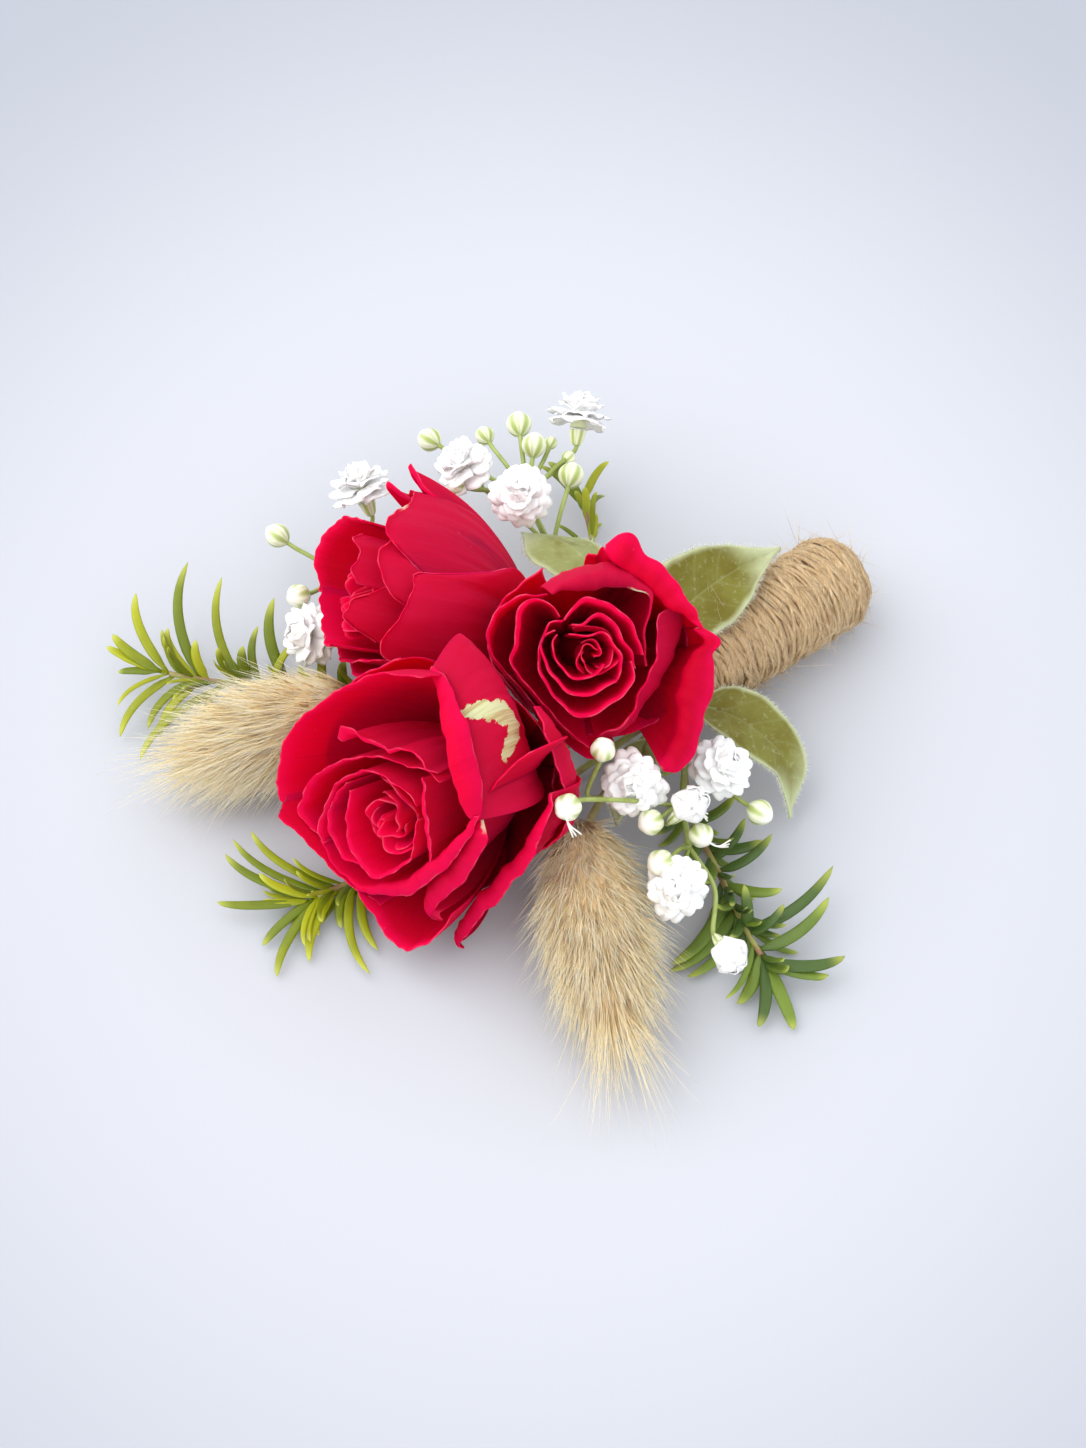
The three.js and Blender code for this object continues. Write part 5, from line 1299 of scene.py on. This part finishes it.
# A spray by its slot in the handle, the path of its main stem past the handle and its twigs
SPRAYS = {
    "top": Sizes(slot=2, path=((-2.6, 8.4, 11.4), (-0.5, 20, 11), (1.5, 31, 11), (4.5, 40, 12)), twigs=(
        twig(2, seen_at(472, 476, 16), faces=(-0.3, 0.5, 0.8), floret="top_2"),
        twig(2, seen_at(523, 498, 19.5), faces=(-0.4, -0.2, 0.9), floret="top_3"),
        twig(3, seen_at(578, 430, 15), faces=(0.6, 0.5, 0.5), floret="top_4"),
        twig(3, seen_at(430, 440, 10), via=(3.4, 49, 11), bud=1.85),
        twig(3, seen_at(485, 436, 11), bud=1.5),
        twig(3, seen_at(519, 425, 13), bud=2),
        twig(3, seen_at(534, 446, 15), bud=1.9),
        twig(2, seen_at(571, 476, 13), bud=2),
        twig(3, seen_at(551, 443, 13), bud=1),
        twig(3, seen_at(568, 458, 13), bud=1.1),
        twig(3, seen_at(457, 486, 17), bud=1.3),
    )),
    "left": Sizes(
        slot=4, path=((-5.6, 7.6, 5.4), (-12, 20, 2.2), (-19, 32, 2), (-23, 42, 4), (-24, 50, 6)),
        twigs=(
            twig(4, seen_at(366, 501, 12), faces=(0.1, 0.5, 0.6), floret="left_1"),
            twig(3, seen_at(321, 636, 8.3), faces=(-0.8, 0.3, 0.6), floret="left_2"),
            twig(4, seen_at(278, 536, 9), bud=1.85),
            twig(4, seen_at(299, 596, 11), bud=1.85),
        )),
    "right": Sizes(
        slot=10, path=((-4.5, -7, 9.4), (-11, -12, 11), (-16.5, -17.5, 12), (-20, -22.5, 10.5)),
        twigs=(
            twig(1, seen_at(634, 782, 18), faces=(-0.55, -0.45, 0.7), floret="right_1"),
            twig(0, seen_at(714, 772, 13.6), faces=(0.2, -0.4, 0.85), floret="right_2"),
            twig(3, seen_at(678, 886, 11), faces=(-0.5, -0.4, 0.7), floret="right_3"),
            twig(3, seen_at(721, 944, 10), via=(-22, -30, 10), faces=(-0.3, -0.8, 0.4),
                 floret="right_4", half=True),
            twig(2, seen_at(678, 815, 16.6), faces=(0.3, -0.3, 0.7), floret="right_5", half=True,
                 styles=(0.7, -0.7, -0.1)),
            twig(1, seen_at(603, 750, 27), via=(-28, -9.5, 17), faces=(0.1, -0.1, 1), bud=1.8),
            twig(2, seen_at(568, 807, 30), faces=(-0.6, -0.3, 0.5), bud=1.95, styles=(-0.3, -0.8, -0.5)),
            twig(2, seen_at(651, 822, 17), bud=1.9),
            twig(3, seen_at(661, 863, 15), bud=2),
            twig(2, seen_at(701, 835, 14), bud=1.8, styles=(0.6, -0.8, -0.2)),
            twig(1, seen_at(759, 812, 11), bud=1.9),
        )),
}
STYLE = Sizes(length=4.2, radius=0.13, spread=0.16, fan=(-1, 0.2, 1))
SPRAY = Sizes(stem=0.6, twig=0.36, neck=3, cup=(0.6, 1.35), cup_depth=2.4, half_cup=0.7)
FLORET = Sizes(full=9.6, half_open=6.5, petal=0.16)
# A floret's rings of petals: how many, their lean from the axis in degrees, where they start up the axis,
# their length and half width, their shift round the axis in petals, their inward bend and their bulge.
# All but the first two and the shift are shares of the floret's size.
OPEN_RINGS = (
    (6, 84, 0.1, 0.5, 0.26, 0.33, -0.12, -0.04), (6, 66, 0.13, 0.5, 0.25, 0.8, -0.1, -0.04),
    (5, 48, 0.16, 0.47, 0.24, 0.3, -0.08, -0.04), (5, 32, 0.17, 0.45, 0.21, 0.7, -0.05, -0.02),
    (4, 20, 0.17, 0.43, 0.2, 0.2, 0.1, 0.1), (3, 8, 0.17, 0.38, 0.16, 0.5, 0.1, 0.1),
)
HALF_OPEN_RINGS = (
    (5, 16, 0.03, 0.86, 0.38, 0.4, 0.22, 0.3), (5, 10, 0.05, 0.82, 0.34, 0.9, 0.18, 0.24),
    (3, 4, 0.06, 0.76, 0.24, 0.2, 0.1, 0.14),
)


def bud_shape(centre, axis, radius):
    """A bud a little taller than wide: radius sin(pi u^0.95)^0.62 at a share u of its height, with five
    shallow lobes."""
    u = np.linspace(0.02, 0.985, 18)
    heights = radius * (-1.05 + 2.25 * u)
    radii = radius * np.sin(np.pi * u**0.95) ** 0.62
    return turned(centre, axis, heights, radii, 30, 5, 0.035)


def add_end(skin, one, to, axis):
    """The end of a twig: a bud, or a floret's cup, whose radius grows from foot to mouth as u^0.6 and
    which has five lobes."""
    turn = np.arange(30) / 30
    if one.bud:
        grid = bud_shape(to, axis, one.bud)
        skin.rings(grid, bud=1.0, around=turn, along=np.linspace(0, 1, len(grid))[:, None])
        return
    u = np.linspace(0, 1, 8)
    size = SPRAY.half_cup if one.half else 1
    radii = (SPRAY.cup[0] + (SPRAY.cup[1] - SPRAY.cup[0]) * u**0.6) * size
    grid = turned(to - SPRAY.cup_depth * axis, axis, SPRAY.cup_depth * u, radii, 30, 5, 0.08)
    skin.rings(grid, bud=0.5, around=turn, along=u[:, None] * 0.6)


def add_styles(skin, one, to, axis):
    """White filaments that leave a bud's top, turn to the way that its styles point and spread a
    little."""
    way = unit(np.array(one.styles, float))
    fan = np.cross(way, axis) * STYLE.spread
    bend = to + 2 * axis + 0.4 * STYLE.length * way
    for aside in STYLE.fan:
        end = to + axis + STYLE.length * (way + aside * fan - 0.2 * axis)
        filament = curve_through([to + 0.8 * axis, bend, end], 10)
        skin.rings(tube(filament, STYLE.radius, 6), bud=1.0, along=1.0)


class BOUTONNIERE_OT_breath_stems(bpy.types.Operator):
    """Make the forked stems of the baby's breath, with their buds and cups"""

    bl_idname = "boutonniere.breath_stems"
    bl_label = "Baby's breath stems"

    def execute(self, context):
        material = breath_green_finish(context.scene.boutonniere_colours)
        for name, spray in SPRAYS.items():
            skin = Skin("along", "around", "bud")
            main = curve_through([*thin_slot(spray.slot), *spray.path], 60)
            skin.rings(tube(main, SPRAY.stem * np.linspace(1, 0.75, 60), 10))
            for one in spray.twigs:
                start, to = np.array(spray.path[one.start], float), np.array(one.to, float)
                axis = unit(np.array(one.faces, float) if one.faces else to - start)
                neck = to - SPRAY.neck * axis
                middle = one.via or start + 0.55 * (neck - start) + np.array([0, 0, 0.8])
                path = curve_through([start, middle, neck, to - 0.2 * SPRAY.neck * axis], 24)
                thick = SPRAY.twig * (1 + 0.35 * smooth(np.linspace(0, 1, 24), 0.9, 1))
                skin.rings(tube(path, thick, 8))
                add_end(skin, one, to, axis)
                if one.styles:
                    add_styles(skin, one, to, axis)
            skin.piece(f"breath_{name}_twigs", material, "breath_green", f"breath_{name}_stem")
        return {"FINISHED"}


def breath_green_finish(colours):
    """Smooth pale green. Buds have pale stripes between their five green sepals and a whitish top."""
    f = Finish("breath_green", {
        "Specular IOR Level": 0.45, "Coat Weight": 0.1, "Coat Roughness": 0.3,
        "Subsurface Weight": 0.1, "Subsurface Radius": (0.0006, 0.0008, 0.0003),
    })
    along, around, bud = f.mark("along"), f.mark("around"), f.mark("bud")
    blotch = f.noise(f.place(), 500.0, 3.0)
    stem = f.mix(opaque(colours.breath_green), (0.28, 0.34, 0.07, 1), f.smooth(blotch, 0.4, 0.65))
    stripe, fine = (f.math("COSINE", around * (2 * math.pi * count)) * 0.5 + 0.5 for count in (5, 15))
    skin = f.layers(
        (0.42, 0.52, 0.14, 1),
        ((0.88, 0.9, 0.68, 1), f.smooth(stripe + along * 0.5 + blotch * 0.3, 0.3, 1.0)),
        ((0.5, 0.6, 0.22, 1), fine * 0.25),
        ((0.96, 0.95, 0.88, 1), f.smooth(along, 0.65, 0.95) * 0.85),
    )
    return f.finish(f.mix(stem, skin, f.smooth(bud, 0.2, 0.5)), 0.45 + blotch * 0.1, blotch, 0.1, 0.0001)


def floret_petals(skin, base, axis, size, rings, rng):
    """Rings of small petals. A petal at a share t of its length and s across is length t (1 - (0.1
    exp(-(s / 0.2)^2) + 0.3 s^4) t^2) outwards and half t^0.55 (1 - 0.2 t^6) s across. It waves gently,
    swells outwards by bulge sin(pi t) and bends inwards by curl t^2."""
    t, s = np.linspace(0, 1, 9)[None, :, None, None], np.linspace(-1, 1, 9)[None, None, :, None]
    for count, lean, start, length, half, phase, curl, bulge in rings:
        k = np.arange(count)
        turn = 2 * np.pi * (k + phase) / count + rng.normal(0, 0.1, count)
        lean = np.radians(lean + rng.normal(0, 5, count))[:, None]
        out = spokes(axis, turn)
        way = axis * np.cos(lean) + out * np.sin(lean)
        across = np.cross(axis, out)
        over = np.cross(across, way)
        way, across, over = (part[:, None, None] for part in (way, across, over))
        long = (length * size * rng.uniform(0.88, 1.1, count))[:, None, None, None]
        notch = 0.1 * np.exp(-((s / 0.2) ** 2)) + 0.3 * s**4
        reach = long * t * (1 - t**2 * notch)
        aside = half * size * t**0.55 * (1 - 0.2 * t**6) * s
        first, second = rng.uniform(0, 6.28, (2, count))[:, :, None, None, None]
        wave = 0.022 * size * t**2 * (np.sin(3.4 * s + first) + 0.5 * np.sin(6 * s + second))
        droop = size * (curl * t**2 - bulge * np.sin(np.pi * t))
        root = base + start * size * axis
        grid = root + way * reach + across * aside - over * (wave + droop)
        skin.blades(grid, FLORET.petal, along=t[..., 0], kind=first[..., 0])


class BOUTONNIERE_OT_florets(bpy.types.Operator):
    """Make the double florets of the baby's breath"""

    bl_idname = "boutonniere.florets"
    bl_label = "Florets"

    def execute(self, context):
        material = floret_finish(context.scene.boutonniere_colours)
        for spray in SPRAYS.values():
            for one in (each for each in spray.twigs if each.floret):
                rng = np.random.default_rng(sum(map(ord, one.floret)))
                axis = unit(np.array(one.faces, float))
                base = np.array(one.to, float) + CLEARANCE * axis
                size, rings = FLORET.full, OPEN_RINGS
                if one.half:
                    size, rings = FLORET.half_open, HALF_OPEN_RINGS
                skin = Skin("along", "kind", "face")
                u = np.linspace(0, 1, 8)
                core = turned(base, axis, 0.3 * size * u, 0.12 * size * (1 - u) ** 0.5 + 0.2, 12)
                skin.rings(core)
                floret_petals(skin, base, axis, size, rings, rng)
                skin.piece(f"floret_{one.floret}", material, "breath_white", f"breath_floret_{one.floret}")
        return {"FINISHED"}


def floret_finish(colours):
    """White petals, greenish at the root, with a faint pink blush on some."""
    f = Finish("breath_white", {
        "Specular IOR Level": 0.3, "Subsurface Weight": 0.6, "Sheen Weight": 0.3,
        "Subsurface Radius": (0.003, 0.0029, 0.0027),
    })
    along, kind = f.mark("along"), f.mark("kind")
    blush = f.smooth(f.noise(f.place(), 90.0, 1.0), 0.55, 0.75)
    colour = f.mix((0.72, 0.78, 0.5, 1), opaque(colours.breath_white), f.smooth(along, 0.0, 0.35))
    colour = f.mix(colour, (0.95, 0.8, 0.8, 1), blush * f.smooth(kind, 2.0, 5.0) * 0.35)
    vein = f.noise(f.place(), 900.0, 2.0)
    return f.finish(colour, 0.55, vein, 0.08, 0.0001)


# Downy leaves

# A leaf by its slot in the handle, its petiole and rib, its greatest half width, the degrees by which its
# halves rise, the way that its face looks, drawn, which is 1 where it is widest at its middle and less
# where that lies nearer its foot, and how much paler than the others it is
LEAVES = {
    "over_handle": Sizes(
        slot=0, petiole=((-3.2, 0.3, 15.4), (-3.6, 2.4, 16.4)), width=6.9, fold=14, up=(-0.1, -0.3, 1),
        drawn=0.62, pale=0, rib=((-1, 4.2, 17), (6, 5.6, 18), (15, 5.8, 17.6), (24.8, 5.3, 15.6))),
    "beside_handle": Sizes(
        slot=11, petiole=((-2.6, -4.4, 12.4),), width=5.5, fold=12, up=(0.2, -0.2, 1), drawn=0.6, pale=0.1,
        rib=(seen_at(697, 706, 13), seen_at(730, 715, 13), seen_at(762, 736, 11.5),
             seen_at(787, 765, 8), seen_at(790, 818, 2.6))),
    "behind": Sizes(
        slot=1, petiole=((-2.8, 5.2, 15), (-2, 10.5, 16.4)), width=6.4, fold=-16, up=(0.4, 0, 1), drawn=0.8,
        pale=0.8, rib=((-1, 16, 17.6), (-0.5, 22, 19.4), (-0.8, 28, 18.4), (-1.6, 34, 14.6))),
    "under_floret": Sizes(
        slot=12, petiole=((-4.6, -2.8, 13.4),), width=3.4, fold=12, up=(0, 0, 1), drawn=0.7, pale=0.6,
        rib=((-12, -5.4, 11.6), (-17, -7.2, 10.2), (-21.4, -9.4, 9.8), (-25, -12.4, 10))),
}
SIDE_VEINS = 6
MARGIN_HAIRS = 600
MARGIN_HAIR_RADIUS = 0.03
PETIOLE_RADII = (0.62, 0.4)


def leaf_surface(leaf, rib, u, s):
    """A leaf on its rib. At a share u of its length its half width is width sin(pi u^drawn)^(1.75 -
    drawn), waved a little. Each half rises from the rib by the leaf's fold, sinks along its side veins
    and waves at its margin, and the rib lies in a groove. Returns the points and, for each place on the
    rib, the way along and the way to the side."""
    along = unit(np.gradient(rib, axis=0))
    side = unit(np.cross(along, np.array(leaf.up, float)))
    over = np.cross(side, along)
    half = leaf.width * np.maximum(0.03, np.sin(np.pi * u**leaf.drawn) ** (1.75 - leaf.drawn))
    half = half * (1 + 0.03 * np.sin(13 * u + s) + 0.015 * np.sin(31 * u + 2 * s))
    fold = math.radians(leaf.fold)
    vein = np.abs((u * SIDE_VEINS - 0.99 * np.abs(s) + 50) % 1 - 0.5) * 2
    quilt = -0.04 * smooth(vein, 0.7, 1.0) * smooth(np.abs(s), 0.02, 0.15) * (1 - np.abs(s))
    groove = -0.18 * np.exp(-((s / 0.06) ** 2)) * (1 - u)
    wave = 0.35 * s**2 * np.sin(9 * u + 2.2 * s + leaf.slot)
    lift = np.abs(s) * half * math.sin(fold) + quilt + groove + wave
    grid = rib[:, None] + side[:, None] * (s * half * math.cos(fold))[..., None]
    return grid + over[:, None] * lift[..., None], along, side


def margin_hairs(skin, grid, along, side, rng):
    """Short hairs that stand out from both margins of a leaf and lean towards its tip."""
    rows, columns = grid.shape[:2]
    count = MARGIN_HAIRS // 1
    row = rng.uniform(1, rows - 1.01, count)
    edge = rng.choice([0, columns - 1], count)
    low = row.astype(int)
    roots = grid[low, edge] + (grid[low + 1, edge] - grid[low, edge]) * (row - low)[:, None]
    out = side[low] * np.where(edge == 0, -1, 1)[:, None]
    ways = unit(out + 0.6 * along[low] + rng.normal(0, 0.35, (count, 3)))
    lengths = rng.uniform(0.35, 0.95, count)
    bends = rng.normal(0, 0.08, (count, 3))
    hairs(skin, roots, ways, lengths, MARGIN_HAIR_RADIUS, bends, fuzz=np.ones((count, 3)))


class BOUTONNIERE_OT_leaves(bpy.types.Operator):
    """Make the downy leaves, with their veins and the fuzz of their margins"""

    bl_idname = "boutonniere.leaves"
    bl_label = "Downy leaves"

    def execute(self, context):
        material = leaf_finish(context.scene.boutonniere_colours)
        rows, columns = ((64, 33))
        u, s = np.linspace(0, 1, rows)[:, None], np.linspace(-1, 1, columns)[None]
        for name, leaf in LEAVES.items():
            rib = curve_through(leaf.rib, rows)
            grid, along, side = leaf_surface(leaf, rib, u, s)
            skin = Skin("along", "across", "face", "fuzz", "pale")
            skin.blades(grid, 0.42 - 0.2 * s**2, along=u, across=s, pale=leaf.pale)
            foot, _ = point_on(rib, 0.12)
            path = curve_through([*thin_slot(leaf.slot), *leaf.petiole, leaf.rib[0], foot], 60)
            skin.rings(tube(path, np.linspace(*PETIOLE_RADII, 60), 10))
            margin_hairs(skin, grid, along, side, np.random.default_rng(leaf.slot + 40))
            skin.piece(f"leaf_{name}_blade", material, "downy_leaf", f"leaf_{name}")
        return {"FINISHED"}


def leaf_finish(colours):
    """Velvety olive green with a net of pale veins, a pale margin and tip, a paler underside and white
    fuzz."""
    f = Finish("downy_leaf", {
        "Specular IOR Level": 0.2, "Sheen Weight": 0.15, "Sheen Roughness": 0.4,
        "Sheen Tint": (0.9, 1.0, 0.8, 1), "Subsurface Weight": 0.06,
        "Subsurface Radius": (0.0004, 0.0006, 0.0002),
    })
    along, across, face, fuzz = f.mark("along"), f.mark("across"), f.mark("face"), f.mark("fuzz")
    away = f.math("ABSOLUTE", across)
    place = f.math("FRACT", along * SIDE_VEINS - away + 50.0)
    vein = f.smooth(f.math("ABSOLUTE", place - 0.5), 0.4, 0.5)
    fine = f.noise(f.place(), 1100.0, 3.0, 0.7)
    blotch = f.noise(f.place(), 200.0, 3.0)
    pale = opaque(colours.leaf_pale)
    colour = f.layers(
        opaque(colours.leaf),
        ((0.2, 0.2, 0.035, 1), f.smooth(blotch, 0.4, 0.65) * 0.6),
        ((0.3, 0.33, 0.12, 1), f.mark("pale") * f.smooth(blotch, 0.2, 0.5)),
        (pale, f.smooth(fine, 0.52, 0.8) * 0.35),
        (pale, vein * 0.06),
        (pale, f.smooth(away, 0.05, 0.0) * 0.14),
        (pale, f.smooth(away + blotch * 0.2, 0.92, 1.14)),
        (pale, f.smooth(along + blotch * 0.15 + away * 0.12, 0.72, 1.1) * 0.9),
        ((0.5, 0.56, 0.33, 1), face * 0.45),
        ((0.86, 0.88, 0.74, 1), fuzz),
    )
    return f.finish(colour, 0.7, fine, 0.4, 0.00015)


# The stage

# How far the floor reaches from the middle, and between which distances, in metres, painted shade dims
# its colour away from the middle of the view, with the shares of red, green and blue that are left there
FLOOR = Sizes(reach=3.0, dims_from=0.055, dims_to=0.16, left=(0.7, 0.71, 0.745))
# Square lamps: place and side in metres, power in watts and colour
LAMPS = {
    "key": ((-0.65, 0.8, 1.3), 1.9, 17, (1.0, 0.99, 0.97)),
    "fill": ((-0.7, -1.2, 1.1), 1.6, 5, (0.99, 0.99, 1.0)),
}
SKY = Sizes(colour=(0.95, 0.965, 1.0, 1), strength=1.3)


def in_frame(point):
    """A point in millimetres round the binding point, in the frame's metres."""
    return Vector((np.array(point, float) + BINDING_POINT) * MM)


def soft_light(name, place, size, power, colour):
    """A square lamp that looks at the bunch."""
    lamp = bpy.data.lights.new(name, "AREA")
    lamp.size, lamp.energy, lamp.color = size, power, colour
    thing = bpy.data.objects.new(name, lamp)
    thing.location = Vector(place)
    thing.rotation_euler = (-thing.location).to_track_quat("-Z", "Y").to_euler()
    bpy.context.scene.collection.objects.link(thing)


def floor_finish(colours):
    """Smooth pale paper with painted shade that dims it a little away from the middle of the camera's view,
    less so along the view than across it."""
    f = Finish("floor_paper", {"Specular IOR Level": 0.2})
    centre = in_frame(CAMERA.aim)
    look = Vector(CAMERA.aim) - Vector(CAMERA.eye)
    angle = math.atan2(look.y, look.x)
    x, y = (f.math("SUBTRACT", f.apart(axis), part) for axis, part in enumerate(centre[:2]))
    onward = (x * math.cos(angle) + y * math.sin(angle)) * 0.82
    aside = y * math.cos(angle) - x * math.sin(angle)
    away = f.math("SQRT", onward * onward + aside * aside)
    grain = f.noise(f.place(), 900.0, 2.0)
    floor_shade = tuple(share * part for share, part in zip(FLOOR.left, colours.floor))
    # Painted shade: the floor's colour dims away from the middle of the view
    tint = f.mix(opaque(colours.floor), opaque(floor_shade), f.smooth(away, FLOOR.dims_from, FLOOR.dims_to))
    return f.finish(tint, 0.82 + grain * 0.06, grain, 0.02, 0.0001)


class BOUTONNIERE_OT_stage(bpy.types.Operator):
    """Lay the floor and set the lights and the camera"""

    bl_idname = "boutonniere.stage"
    bl_label = "Stage"

    def execute(self, context):
        scene = context.scene
        corners = [(x * FLOOR.reach, y * FLOOR.reach, 0) for x, y in ((-1, -1), (1, -1), (1, 1), (-1, 1))]
        mesh = bpy.data.meshes.new("floor")
        mesh.from_pydata(corners, [], [(0, 1, 2, 3)])
        mesh.materials.append(floor_finish(scene.boutonniere_colours))
        floor = bpy.data.objects.new("floor", mesh)
        scene.collection.objects.link(floor)

        for name, lamp in LAMPS.items():
            soft_light(name, *lamp)
        world = scene.world or bpy.data.worlds.new("studio")
        scene.world = world
        world.use_nodes = True
        sky = world.node_tree.nodes["Background"].inputs
        sky[0].default_value, sky[1].default_value = SKY.colour, SKY.strength

        lens = bpy.data.cameras.new("camera")
        lens.lens, lens.sensor_width, lens.sensor_fit = CAMERA.lens, CAMERA.sensor, "AUTO"
        lens.clip_start, lens.clip_end = 0.01, 20
        camera = bpy.data.objects.new("camera", lens)
        camera.location = in_frame(CAMERA.eye)
        look = in_frame(CAMERA.aim) - camera.location
        camera.rotation_euler = look.to_track_quat("-Z", "Y").to_euler()
        scene.collection.objects.link(camera)
        scene.camera = camera
        scene.view_settings.view_transform = "Standard"
        return {"FINISHED"}


class BOUTONNIERE_PT_panel(bpy.types.Panel):
    """The boutonniere's pieces and settings"""

    bl_label = "Boutonniere"
    bl_idname = "BOUTONNIERE_PT_panel"
    bl_space_type = "VIEW_3D"
    bl_region_type = "UI"
    bl_category = "Boutonniere"

    def draw(self, context):
        for group in (context.scene.boutonniere_sizes, context.scene.boutonniere_colours):
            for name in group.bl_rna.properties.keys():
                if name not in ("rna_type", "name"):
                    self.layout.prop(group, name)
        for operator in OPERATORS:
            self.layout.operator(operator.bl_idname)


OPERATORS = (
    BOUTONNIERE_OT_stage,
    BOUTONNIERE_OT_handle,
    BOUTONNIERE_OT_blooms,
    BOUTONNIERE_OT_rose_stems,
    BOUTONNIERE_OT_bunny_tails,
    BOUTONNIERE_OT_rosemary,
    BOUTONNIERE_OT_breath_stems,
    BOUTONNIERE_OT_florets,
    BOUTONNIERE_OT_leaves,
)
CLASSES = (BoutonniereSizes, BoutonniereColours, *OPERATORS, BOUTONNIERE_PT_panel)


def register():
    """Adds the classes and the scene's settings."""
    for each in CLASSES:
        bpy.utils.register_class(each)
    bpy.types.Scene.boutonniere_sizes = PointerProperty(type=BoutonniereSizes)
    bpy.types.Scene.boutonniere_colours = PointerProperty(type=BoutonniereColours)


def unregister():
    """Takes them away again."""
    del bpy.types.Scene.boutonniere_colours
    del bpy.types.Scene.boutonniere_sizes
    for each in reversed(CLASSES):
        bpy.utils.unregister_class(each)


def main():
    """Makes every piece in order."""
    register()
    bpy.ops.boutonniere.stage()
    bpy.ops.boutonniere.handle()
    bpy.ops.boutonniere.blooms()
    bpy.ops.boutonniere.rose_stems()
    bpy.ops.boutonniere.bunny_tails()
    bpy.ops.boutonniere.rosemary()
    bpy.ops.boutonniere.breath_stems()
    bpy.ops.boutonniere.florets()
    bpy.ops.boutonniere.leaves()
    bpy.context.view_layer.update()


if __name__ == "__main__":
    main()
